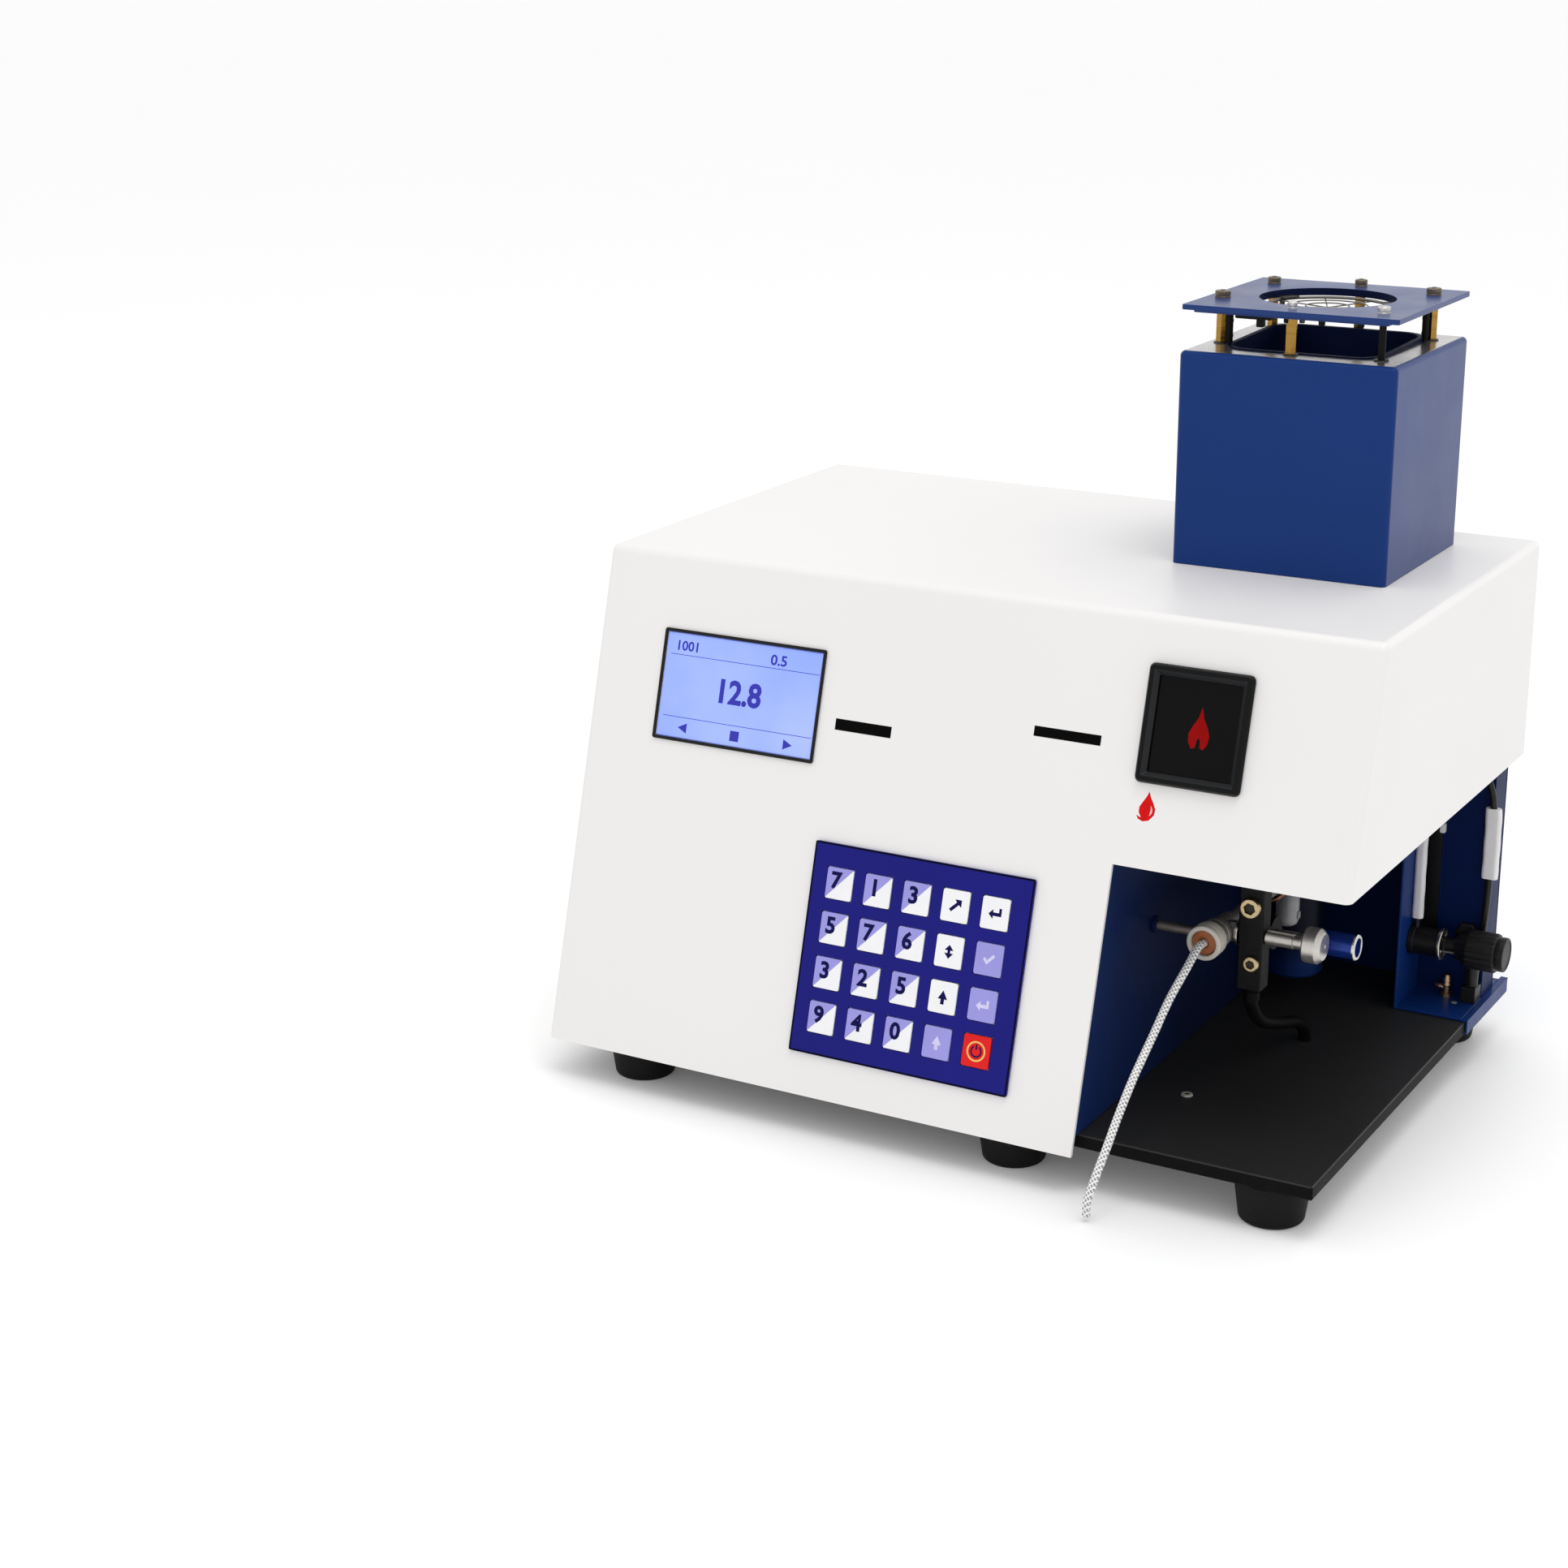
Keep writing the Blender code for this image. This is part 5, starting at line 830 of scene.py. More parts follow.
half_width, half_height = KEY_SIZE[0] / 2, KEY_SIZE[1] / 2
diagonal = Vector((half_height, -half_width, 0)).normalized()
for row in range(1, 5):
    for column in range(1, 6):
        key = stacked([
            [(a, b, level) for a, b in
             rounded_box(half_width - inset, half_height - inset, KEY_CORNER - inset * 0.8)]
            for inset, level in KEY_LEVELS
        ])
        film = films.get((row, column), film_white)
        if column <= SPLIT_COLUMNS:
            everything = key.verts[:] + key.edges[:] + key.faces[:]
            bmesh.ops.bisect_plane(key, geom=everything, plane_co=(0, 0, 0), plane_no=diagonal)
            for face in key.faces:
                face.material_index = PALE_SIDE if face.calc_center_median().dot(diagonal) < 0 else 0
            text = KEY_FIGURES[row - 1][column - 1]
            number = figure(text, *FIGURE_SHIFT, FIGURE_HEIGHT, *KEY_PRINT, heavy=FIGURE_WEIGHT)
            add_print(key, number, DARK_INK)
        elif (row, column) == POWER_KEY:
            add_print(key, tube(POWER_RING[1], POWER_RING[0], *KEY_PRINT, 40), YELLOW_INK)
            power_sign = open_ring(*POWER_ARC, *KEY_PRINT, POWER_GAP)
            add_print(key, add_shape(power_sign, flat_shape(POWER_STROKE, *KEY_PRINT)), DARK_INK)
        else:
            ink = DARK_INK if film is film_white else PALE_INK
            add_print(key, flat_shape(SIGNS[(row, column)], *KEY_PRINT, size=SIGN_SIZE), ink)
        across = KEYPAD[0] + KEY_START[0] + half_width + (column - 1) * KEY_PITCH[0]
        down = KEYPAD[1] + KEY_START[1] + half_height + (row - 1) * KEY_PITCH[1]
        name = "key_" + str(row) + "_" + str(column)
        materials = [film, film_pale, ink_dark, ink_pale, ring_yellow]
        solid("film_" + name, key, materials, body=name, place=panel @ at(across, -down), sharp=40, node=name)

# Burner train: black deck across the bay, blue anodised mixing chamber under it, steel burner in
# its round shield above, and the grey igniter body with its copper lead beside the block.
CHAMBER_LIT, CHAMBER_SHADED = (0.0040, 0.0200, 0.1050), (0.0024, 0.0036, 0.0120)
IGNITER_RADIUS, IGNITER_HEAD, IGNITER_HEAD_HEIGHT = 0.0063, 0.009, 0.003
LEAD_RADIUS = 0.0011
LEAD_ROUTE = (
    (0.1375, -0.0200, 0.1236), (0.1405, -0.0190, 0.1245), (0.1440, -0.0170, 0.1272),
    (0.1455, -0.0140, 0.1330), (0.1446, -0.0105, 0.1420), (0.1434, -0.0088, 0.1520),
    (0.1430, -0.0082, 0.1702),
)


def turned_metal(name, colour, roughness, shade=0.72, rings=2600, axis="Z", metal=1.0):
    """Bare metal from the lathe, with fine tool rings across its axis."""
    material = finish(name, colour, roughness, metal)
    shader = shader_of(material)
    stretch = {"X": (1, 0.02, 0.02), "Y": (0.02, 1, 0.02), "Z": (0.02, 0.02, 1)}[axis]
    lines = noise(shader, rings, stretch, detail=4.0)
    vary(shader, ["Base Color"], lines, tuple(channel * shade for channel in colour), colour)
    vary(shader, ["Roughness"], lines, roughness - 0.07, roughness + 0.09)
    bump(shader, lines, 0.00001)
    return material


deck_black = coat("black_paint", (0.010, 0.010, 0.011), 0.45, blotch=30, grain=1800)
rolled_node("burner_deck_black", "burner_deck", deck_black, 0.0003, 2)
chamber_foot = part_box("mixing_chamber")[0].z
chamber_blue = coat(
    "chamber_blue", (0.003, 0.009, 0.045), 0.38, metal=0.3, shade=0.92, grain=2600, depth=0.000008, gloss=0.15
)
graded(chamber_blue, "Z", chamber_foot + 0.008, chamber_foot + 0.022, CHAMBER_LIT, CHAMBER_SHADED)
rolled_node("mixing_chamber_blue", "mixing_chamber", chamber_blue, 0.0004, 2, sharp=28)
burner_steel = turned_metal("burner_steel", (0.52, 0.51, 0.50), 0.34)
rolled_node("burner_tube_steel", "burner_tube", burner_steel, 0.0003, 2, sharp=28)
shield_steel = coat("shield_steel", (0.42, 0.40, 0.38), 0.36, metal=1.0, shade=0.6, blotch=35, grain=900)
rolled_node("flame_shield_steel", "flame_shield", shield_steel, 0.0002, 1, sharp=28)
igniter_grey = coat(
    "igniter_ceramic", (0.24, 0.24, 0.255), 0.40, metal=0.3, shade=0.75, blotch=120, grain=1800
)
low, high = (corner.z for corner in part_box("igniter"))
spot, radius, head_low = middle("igniter"), IGNITER_RADIUS, high - IGNITER_HEAD_HEIGHT
profile = [(0, low), (radius * 0.55, low), (radius * 0.85, low + 0.0012), (radius, low + 0.0035)]
profile += [(radius, head_low), (IGNITER_HEAD, head_low), (IGNITER_HEAD, high), (0, high)]
lug = block((radius - 0.0012, -0.0016, low + 0.0045), (radius + 0.0007, 0.0016, low + 0.0085))
carved(
    "igniter_body", turned(profile, 56), igniter_grey, joined=[roll_edges(lug, 0.0004, 2)],
    place=at(spot.x, spot.y), node="igniter",
)
copper = coat("copper_lead", (0.45, 0.20, 0.11), 0.34, metal=1.0, shade=0.6, blotch=400, grain=2600)
hose("copper_lead", smooth_route(LEAD_ROUTE, 0.002), LEAD_RADIUS, copper)

# Chimney: blue painted sheet box over the burner with rolled corners, screwed to the cover from inside.
# Its bare top has a wide mouth with a liner that rises towards the back, dark blue as painted shade.
CHIMNEY_FOLD, CHIMNEY_SHEET, CHIMNEY_TOP = 0.0030, 0.0015, 0.4064
MOUTH_LIP, MOUTH_CORNER = 0.0174, 0.014
LINER_DEPTH, LINER_WALL, RIM_LEAST = 0.0450, 0.0012, 0.0004
LINER_CUT_DEPTH, LINER_CUT_HEIGHT = 0.0500, 0.0080
chimney_low, chimney_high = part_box("chimney_housing")
chimney_centre = at(burner.x, burner.y)
wall = CHIMNEY_SHEET


def half_size(node):
    """Half the width and half the depth of a CAD node's box."""
    low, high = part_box(node)
    return (high.x - low.x) / 2, (high.y - low.y) / 2


def rounded_block(half_width, half_depth, corner, low, high, steps=8):
    """Upright block with rounded corners, about the middle of the chimney."""
    return flat_shape(rounded_box(half_width, half_depth, corner, steps), low, high)


half_width, half_depth = half_size("chimney_housing")
shell = block((-half_width, -half_depth, chimney_low.z), (half_width, half_depth, CHIMNEY_TOP))
shell_foot = chimney_low.z + 0.0001
roll_edges(shell, CHIMNEY_FOLD, 8, lambda edge: any(vert.co.z > shell_foot for vert in edge.verts))
hollow = block(
    (wall - half_width, wall - half_depth, chimney_low.z - CUT_PAST),
    (half_width - wall, half_depth - wall, CHIMNEY_TOP - wall),
)
mouth_width, mouth_depth = half_width - MOUTH_LIP, half_depth - MOUTH_LIP
mouth = rounded_block(mouth_width, mouth_depth, MOUTH_CORNER, CHIMNEY_TOP - CUT_PAST, CHIMNEY_TOP + CUT_PAST)
top_steel = coat("top_steel", (0.58, 0.56, 0.56), 0.22, metal=0.85, blotch=25, grain=1500)
chimney = carved(
    "chimney_blue", shell, [blue_paint, top_steel], cut=[hollow, mouth], place=chimney_centre,
    node="chimney_housing",
)
repaint(chimney, lambda face: face.normal.z > 0.99 and face.center.z > CHIMNEY_TOP - 0.00005)
# Dark blue for the mouth's liner and rim and for the guard plate's hole wall: painted shade.
mouth_shade = coat("mouth_shade", (0.0045, 0.0090, 0.0400), 0.5, blotch=60, grain=1500, gloss=0.04)
rim = rounded_block(
    mouth_width + wall, mouth_depth + wall, MOUTH_CORNER + wall, CHIMNEY_TOP - 0.0003, chimney_high.z
)
lowest = CHIMNEY_TOP + RIM_LEAST
for vert in rim.verts:
    if vert.co.z > CHIMNEY_TOP:
        vert.co.z = lowest + (chimney_high.z - lowest) * (0.5 + vert.co.y / half_depth / 2)
liner = rounded_block(
    mouth_width + 0.0001, mouth_depth + 0.0001, MOUTH_CORNER, CHIMNEY_TOP - LINER_DEPTH, CHIMNEY_TOP + 0.0002
)
mouth = rounded_block(
    mouth_width - LINER_WALL, mouth_depth - LINER_WALL, MOUTH_CORNER - LINER_WALL,
    CHIMNEY_TOP - LINER_CUT_DEPTH, CHIMNEY_TOP + LINER_CUT_HEIGHT,
)
carved("chimney_rim_dark", rim, mouth_shade, cut=[mouth], joined=[liner], place=chimney_centre)

# Guard plate: blue painted plate with a round hole, held above the mouth on six hexagonal posts,
# five of brass and one blackened, each with a dark washer below and a round nut above. Two beaded
# black rods beside two brass posts are painted reflection, the dark side the brass shows, and a
# black bracket and three stubs hang under the plate.
PLATE_LOW, PLATE_HIGH, PLATE_CORNER, HOLE_RADIUS = 0.4279, 0.4307, 0.0012, 0.0360
POSTS = (
    (0.080, 0.290, 0.0042, "brass"), (0.480, 0.105, 0.0024, "steel"), (0.880, 0.150, 0.0034, "black"),
    (0.890, 0.810, 0.0040, "brass"), (0.510, 0.920, 0.0034, "brass"), (0.125, 0.820, 0.0036, "brass"),
)
POST_FLATS, BLACK_POST_FLATS, POST_TURN = 0.0027, 0.0018, radians(14)
REFLECTION_RODS, REFLECTION_ROD_RADIUS = ((0, 0.0045783, -0.0000973), (3, -0.0021500, -0.0040432)), 0.0019
REFLECTION_ROD_BEADS, BEAD_HEIGHT = (0.4100, 0.4180, 0.4240), 0.0012
WASHER = ((0, 0), (0.0040, 0), (0.0040, 0.0005), (0.0036, 0.0008), (0, 0.0008))
BRACKET = ((0.0860, 0.0275, 0.4240), (0.1060, 0.0335, PLATE_LOW + 0.0001))
BRACKET_LEG = ((0.0975, 0.0285, 0.4200), (0.1015, 0.0325, 0.4242))
STUBS = ((0.1140, 0.0300), (0.1330, 0.0300), (0.1530, 0.0330))
STUB_PROFILE = (
    (0, 0.4232), (0.0014, 0.4232), (0.0018, 0.4238), (0.0018, 0.4262), (0.0026, 0.4266),
    (0.0026, PLATE_LOW), (0, PLATE_LOW),
)
half_width, half_depth = half_size("guard_plate")
plate = rounded_block(half_width, half_depth, PLATE_CORNER, PLATE_LOW, PLATE_HIGH, 4)
hole = disc(HOLE_RADIUS, PLATE_LOW - CUT_PAST, PLATE_HIGH + CUT_PAST, 96)
under = rounded_block(
    half_width - 0.0060, half_depth - 0.0015, PLATE_CORNER, PLATE_LOW - 0.0012, PLATE_LOW + 0.0002, 4
)
guard_paint = coat("guard_paint", (0.005, 0.032, 0.160), 0.30, shade=0.90, gloss=0.26, sheen=0.06, **POWDER)
guard = carved(
    "guard_plate_blue", plate, [guard_paint, mouth_shade], cut=[hole], joined=[under], roll=0.0008,
    place=chimney_centre, node="guard_plate",
)
# Painted shade: the hole's inner wall takes the dark mouth colour.
repaint(guard, lambda face: (
    (face.center.xy - burner.xy).length < HOLE_RADIUS + 0.0002 and abs(face.normal.z) < 0.9
))
post_brass = turned_metal("post_brass", (0.44, 0.255, 0.055), 0.24, rings=700)
dull_steel = turned_metal("dull_steel", (0.10, 0.095, 0.09), 0.42)
black_metal = coat("black_metal", (0.0035, 0.0035, 0.0038), 0.40, blotch=200, gloss=0.12)
nut_brass = turned_metal("nut_brass", (0.19, 0.155, 0.115), 0.34)
nut_steel = turned_metal("nut_steel", (0.74, 0.72, 0.70), 0.28)
kinds = {
    "brass": (post_brass, nut_brass), "steel": (post_brass, nut_steel), "black": (black_metal, nut_steel),
}


def on_plate(across, back):
    """Place on the guard plate, from shares of its width and depth."""
    return chimney_centre @ at(half_width * (2 * across - 1), half_depth * (2 * back - 1))


for index, (across, back, radius, kind) in enumerate(POSTS):
    post_metal, nut_metal = kinds[kind]
    spot = on_plate(across, back)
    flats = BLACK_POST_FLATS if kind == "black" else POST_FLATS
    post = roll_edges(prism(6, flats / cos(pi / 6), CHIMNEY_TOP, PLATE_LOW), 0.0002, 2)
    solid("post_" + str(index), post, post_metal, place=spot @ spin(POST_TURN), sharp=20)
    solid("post_washer_" + str(index), turned(WASHER, 40), dull_steel, place=spot @ at(0, 0, CHIMNEY_TOP))
    profile = [(0, 0), (radius, 0), (radius, 0.0006), (radius - 0.0002, 0.0008), (radius - 0.0002, 0.0012)]
    profile += [(radius, 0.0014)]
    profile += curve_between((radius, 0.0030), (radius - 0.0008, 0.0037), (radius, 0.0037), 4)
    profile += [(0.0014, 0.0037), (0.0012, 0.0041), (0, 0.0041)]
    solid("post_nut_" + str(index), turned(profile, 48), nut_metal, place=spot @ at(0, 0, PLATE_HIGH))
# Black rods beside two posts: painted reflection of the dark side of the brass.
for index, shift_x, shift_y in REFLECTION_RODS:
    rod = disc(REFLECTION_ROD_RADIUS, CHIMNEY_TOP, PLATE_LOW, 28)
    for level in REFLECTION_ROD_BEADS:
        add_shape(rod, tube(REFLECTION_ROD_RADIUS - 0.0001, REFLECTION_ROD_RADIUS + 0.0002, level, level + BEAD_HEIGHT, 28))
    spot = on_plate(*POSTS[index][:2]) @ at(shift_x, shift_y)
    solid("post_reflection_rod_" + str(index), rod, black_metal, place=spot)
bracket, leg = roll_edges(block(*BRACKET), 0.0006, 2), roll_edges(block(*BRACKET_LEG), 0.0005, 2)
solid("guard_bracket", add_shape(bracket, leg), black_metal)
for index, spot in enumerate(STUBS):
    solid("guard_stub_" + str(index), turned(STUB_PROFILE, 28), black_metal, place=at(*spot))

# Wire guard: three rings of steel wire on four crossed wires inside the plate's hole, held from
# below by three dark clips, each with a hanging screw.
WIRE_LEVEL, CROSS_LEVEL, RING_RADIUS = 0.4262, 0.4254, 0.0325
WIRE_RINGS = ((RING_RADIUS, 0.00078), (0.0215, 0.00036), (0.0115, 0.00036))
CROSS_WIRES, CROSS_WIRE, WIRE_SIDES = 4, 0.00036, 10
CROSS_TURN, CLIP_TURN = radians(22), radians(30)
WIRE_CLIP = ((RING_RADIUS - 0.003, -0.0055, 0.0004), (RING_RADIUS + 0.009, 0.0055, 0.0014))
CLIP_SCREW = (
    (0, -0.004), (0.0013, -0.004), (0.0015, -0.0036), (0.0015, -0.001), (0.0026, -0.001),
    (0.0026, 0.0006), (0, 0.0006),
)
wire_steel = turned_metal("wire_steel", (0.26, 0.24, 0.22), 0.32)


def outline_of(radii, height=0.0):
    """Closed outline at a height, from its radii at even angles."""
    angles = [tau * step / len(radii) for step in range(len(radii))]
    return [(radius * cos(angle), radius * sin(angle), height) for radius, angle in zip(radii, angles)]


grid = bmesh.new()
for radius, thickness in WIRE_RINGS:
    wire = [(radius + out, WIRE_LEVEL + up) for out, up, _ in outline_of([thickness] * WIRE_SIDES)]
    add_shape(grid, turned(wire, 72, ring=True))
for step in range(CROSS_WIRES):
    angle, reach = CROSS_TURN + pi * step / CROSS_WIRES, RING_RADIUS + 0.0004
    lying = along((0, 0, CROSS_LEVEL), (cos(angle), sin(angle), 0))
    add_shape(grid, moved(prism(WIRE_SIDES, CROSS_WIRE, -reach, reach), lying))
solid("wire_guard_bright", grid, wire_steel, place=chimney_centre, node="wire_guard")
for index in range(3):
    place = chimney_centre @ at(0, 0, WIRE_LEVEL) @ spin(CLIP_TURN + tau * index / 3)
    solid("wire_clip_" + str(index), roll_edges(block(*WIRE_CLIP), 0.0003, 2), dull_steel, place=place)
    hanging = place @ at(RING_RADIUS + 0.005, 0)
    solid("wire_clip_screw_" + str(index), turned(CLIP_SCREW, 32), dull_steel, place=hanging)

# Nebuliser: plated body with a cream adjusting collar on its front, an orange rubber seal inside
# the collar, and a plated air pipe from the partition. A hexagon nut couples it to the block.
NEBULISER_X, NEBULISER_FRONT, NEBULISER_Z = 0.1252, -0.0802, 0.1168
BODY_LEVELS = (
    (0, 0.0050), (0.0065, 0.0050), (0.0065, 0.0103), (0.0080, 0.0103), (0.0082, 0.0105),
    (0.0082, 0.0150), (0.0078, 0.0154), (0.0078, 0.0162), (0.0081, 0.0166), (0.0081, 0.0196),
    (0.0066, 0.0204), (0.0064, 0.0208), (0.0064, 0.0350), (0.0060, 0.0362), (0.0045, 0.0366),
    (0.0045, 0.1308), (0, 0.1308),
)
VALVE_Y, NUT_RADIUS, NUT_REACH, NUT_TURN = -0.0542, 0.0060, (0.0010, 0.0094), 0.35
NUT_FLANGE = (
    (0, 0.0090), (0.0066, 0.0090), (0.0069, 0.0093), (0.0069, 0.0104), (0.0066, 0.0107), (0, 0.0107),
)
COLLAR_RADIUS, COLLAR_LENGTH, COLLAR_BORE, COLLAR_ROUND = 0.0095, 0.0100, 0.0068, 0.0011
SEAL_RADIUS, SEAL_BORE, SEAL_BACK, SEAL_THICK = 0.0065, 0.00258, 0.0012, 0.0035
nebuliser_axis = along((NEBULISER_X, NEBULISER_FRONT, NEBULISER_Z), (0, 1, 0))
nickel_dull = turned_metal("nickel_plate", (0.36, 0.33, 0.30), 0.50, axis="Y", metal=0.65)
nickel_bright = turned_metal("nickel_bright", (0.66, 0.63, 0.57), 0.30, axis="X")
solid(
    "nebuliser_body_plated", turned(BODY_LEVELS, 72), nickel_dull, place=nebuliser_axis, sharp=28,
    node="nebuliser_body",
)
nut = roll_edges(prism(6, NUT_RADIUS, *NUT_REACH), 0.0004, 2)
nut_place = along((NEBULISER_X, VALVE_Y, NEBULISER_Z), (1, 0, 0)) @ spin(NUT_TURN)
carved("block_nut", nut, nickel_bright, joined=[turned(NUT_FLANGE, 48)], place=nut_place, sharp=28)
collar_cream = coat("collar_cream", (0.56, 0.53, 0.47), 0.38, shade=0.9, blotch=120)
radius, bore, length, corner = COLLAR_RADIUS, COLLAR_BORE, COLLAR_LENGTH, COLLAR_ROUND
profile = [(bore, 0.0008), (bore + 0.0002, 0.0003)]
profile += curve_between((bore + 0.0006, 0), (bore + 0.0009, 0), (bore + 0.0007, 0), 2)
profile += curve_between((radius - corner, 0), (radius, corner), (radius, 0))
profile += [(radius, 0.0034), (radius - 0.0002, 0.0036), (radius - 0.0002, 0.0042), (radius, 0.0044)]
profile += curve_between((radius, length - corner), (radius - corner, length), (radius, length), 5)
profile += [(bore, length)]
solid(
    "collar_ring", turned(profile, 72, ring=True), collar_cream, body="collar", place=nebuliser_axis,
    node="nebuliser_collar",
)
seal_orange = coat(
    "seal_orange", (0.36, 0.105, 0.022), 0.50, shade=0.7, blotch=180, grain=1500, depth=0.00004
)
profile = [(SEAL_BORE, -0.0001), (0.0031, -0.0003), (0.0036, 0.0001), (SEAL_RADIUS - 0.0008, 0.0002)]
profile += [(SEAL_RADIUS, 0.0006), (SEAL_RADIUS, SEAL_THICK), (SEAL_BORE, SEAL_THICK)]
solid(
    "seal_rubber", turned(profile, 64, ring=True), seal_orange, place=nebuliser_axis @ at(0, 0, SEAL_BACK),
    node="nebuliser_seal",
)
pipe_plate = turned_metal("air_pipe_plate", (0.30, 0.26, 0.23), 0.42, axis="X", metal=0.8)
air_pipe = rolled_node("air_pipe_plated", "air_pipe", [pipe_plate, inner_blue_shaded], 0.0003, 2)
# The pipe's end at the partition takes the partition's blue, with its painted shade.
repaint(air_pipe, lambda face: face.center.x < bay_left + 0.0026)

# Valve block: black machined block that hangs from the deck and joins gas, air and nebuliser. Two
# brass socket cap screws close its front, and the rear valve's plated spindle runs out to the right.
CAP_SCREWS = ((0.1434, 0.1338, 0.0055), (0.1448, 0.1028, 0.0043))
CAP_HEIGHT, CAP_SOCKET, CAP_TURN = 0.62, 0.62, 0.3
SPINDLE_START = 0.1502
block_black = coat("block_black", (0.0045, 0.0045, 0.0047), 0.48, blotch=60, grain=1600, gloss=0.14)
spindle_plate = turned_metal("spindle_plate", (0.55, 0.53, 0.49), 0.32, axis="X")
manifold = rolled_node("valve_block_black", "valve_block", [block_black, spindle_plate], 0.0004, 2)
repaint(manifold, lambda face: face.center.x > SPINDLE_START)
socket_shade_brown = coat("socket_shade_brown", (0.050, 0.038, 0.022), 0.5, shade=0.7, blotch=300, gloss=0.2)
cap_brass = turned_metal("cap_brass", (0.62, 0.50, 0.28), 0.30, rings=1800, axis="Y")
block_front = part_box("valve_block")[0].y
for index, (across, up, radius) in enumerate(CAP_SCREWS):
    height = radius * CAP_HEIGHT
    profile = [(0, -0.0003), (radius * 0.93, -0.0003), (radius, 0.0003)]
    profile += curve_between((radius, height - 0.0009), (radius - 0.0009, height), (radius, height), 5)
    profile += [(0, height)]
    socket = prism(6, radius * CAP_SOCKET, height * 0.35, height * 1.35)
    place = along((across, block_front, up), (0, -1, 0)) @ spin(CAP_TURN + index)
    carved("cap_screw_" + str(index), turned(profile, 56), cap_brass, cut=[socket], place=place)
    # Dark brown disc at the socket's floor: painted shade of the recess.
    floor = disc(radius * (CAP_SOCKET + 0.02), height * 0.30, height * 0.46, 24)
    solid("cap_socket_shade_" + str(index), floor, socket_shade_brown, place=place)

# Fuel valve: plated needle valve stem with flats and a bevelled, finely knurled steel knob pinned
# to its spindle. The knob has a centre dimple in its end.
STEM_START, STEM_LENGTH, STEM_RADIUS, STEM_NECK = 0.1503, 0.0227, 0.0040, 0.0003
SPINDLE_RADIUS, SPINDLE_END = 0.0021, 0.0286
FLAT_OUT, FLAT_TURN = 0.0036 * 1.08, radians(25)
KNOB_START, KNOB_END, KNOB_RADIUS, KNOB_BEVEL = 0.1733, 0.1818, 0.0095, 0.0025
KNOB_RIBS, KNURL_DEPTH, KNOB_SKIRT = 60, 0.00004, 0.0018
KNOB_DIMPLE = ((0, -0.0022), (0.0014, -0.0020), (0.0014, -0.0005), (0.0019, 0.0004), (0, 0.0004))
KNOB_BORE = ((0, -0.004), (0.0035, -0.004), (0.0035, -0.0002), (0.0026, 0), (0.0026, 0.0056), (0, 0.0056))
stem_metal = turned_metal("nickel_stem", (0.60, 0.57, 0.53), 0.34, shade=0.80, axis="X", metal=0.85)
radius, neck = STEM_RADIUS, STEM_RADIUS - STEM_NECK
profile = [(0, 0), (neck, 0), (radius, STEM_NECK), (radius, 0.0150), (neck, 0.0153), (neck, 0.0204)]
profile += [(neck - 0.0005, 0.0208), (neck - 0.0005, STEM_LENGTH), (SPINDLE_RADIUS, STEM_LENGTH)]
profile += [(SPINDLE_RADIUS, SPINDLE_END), (0, SPINDLE_END)]
flats = [
    moved(block((-0.0012, out - 0.0006, -0.001), (0.0012, out + 0.0006, 0.0150)), spin(FLAT_TURN))
    for out in (-FLAT_OUT, FLAT_OUT)
]
carved(
    "valve_stem_plated", turned(profile, 56), stem_metal, cut=flats, sharp=28, node="valve_stem",
    place=along((STEM_START, VALVE_Y, NEBULISER_Z), (1, 0, 0)),
)


def knurled(radius, depth, height):
    """Outline of the steel knob's finely ribbed rim at a height."""
    return outline_of([radius - depth * (step % 2) for step in range(2 * KNOB_RIBS)], height)


knob_steel = turned_metal("knob_steel", (0.66, 0.63, 0.59), 0.34, shade=0.80, axis="X", metal=0.85)
length, radius, bevel, skirt = KNOB_END - KNOB_START, KNOB_RADIUS, KNOB_BEVEL, KNOB_SKIRT
knob_shape = stacked([
    knurled(radius - 0.0016, 0, -skirt), knurled(radius - 0.0004, 0, 0.0005 - skirt),
    knurled(radius, KNURL_DEPTH, 0.0012 - skirt), knurled(radius, KNURL_DEPTH, length - bevel - 0.0003),
    knurled(radius - 0.0002, 0, length - bevel), knurled(radius - bevel + 0.0004, 0, length - 0.0003),
    knurled(radius - bevel, 0, length),
])
hollows = [moved(turned(KNOB_DIMPLE, 40), at(0, 0, length)), turned(KNOB_BORE, 40)]
carved(
    "fuel_knob_steel", knob_shape, knob_steel, cut=hollows, body="fuel_knob", sharp=24, node="valve_knob",
    place=along((KNOB_START, VALVE_Y, NEBULISER_Z), (1, 0, 0)),
)

# Rear valve grip: blue anodised aluminium barrel with a bright bare ring and an open socket at its
# end, on the spindle of the rear valve.
GRIP_START, GRIP_END, GRIP_RADIUS, GRIP_RING = 0.1740, 0.1943, 0.0065, 0.0070
GRIP_BORE, GRIP_SOCKET, GRIP_RING_LENGTH = 0.0026, 0.0050, 0.0018
GRIP_Y, GRIP_Z = -0.0377, 0.1133
grip_blue = coat(
    "grip_blue", (0.010, 0.040, 0.28), 0.26, metal=0.5, shade=0.9, blotch=30, grain=2600, depth=0.000004,
    even=0.04,
)
ring_bright = turned_metal("grip_ring_bright", (0.72, 0.71, 0.69), 0.22, axis="X")
length, radius, ring, socket = GRIP_END - GRIP_START, GRIP_RADIUS, GRIP_RING, GRIP_SOCKET
ring_start = length - GRIP_RING_LENGTH
profile = [(GRIP_BORE, 0)] + curve_between((radius - 0.0008, 0), (radius, 0.0008), (radius, 0), 4)
profile += [(radius, length - 0.0020), (radius - 0.0003, ring_start), (ring - 0.0003, ring_start)]
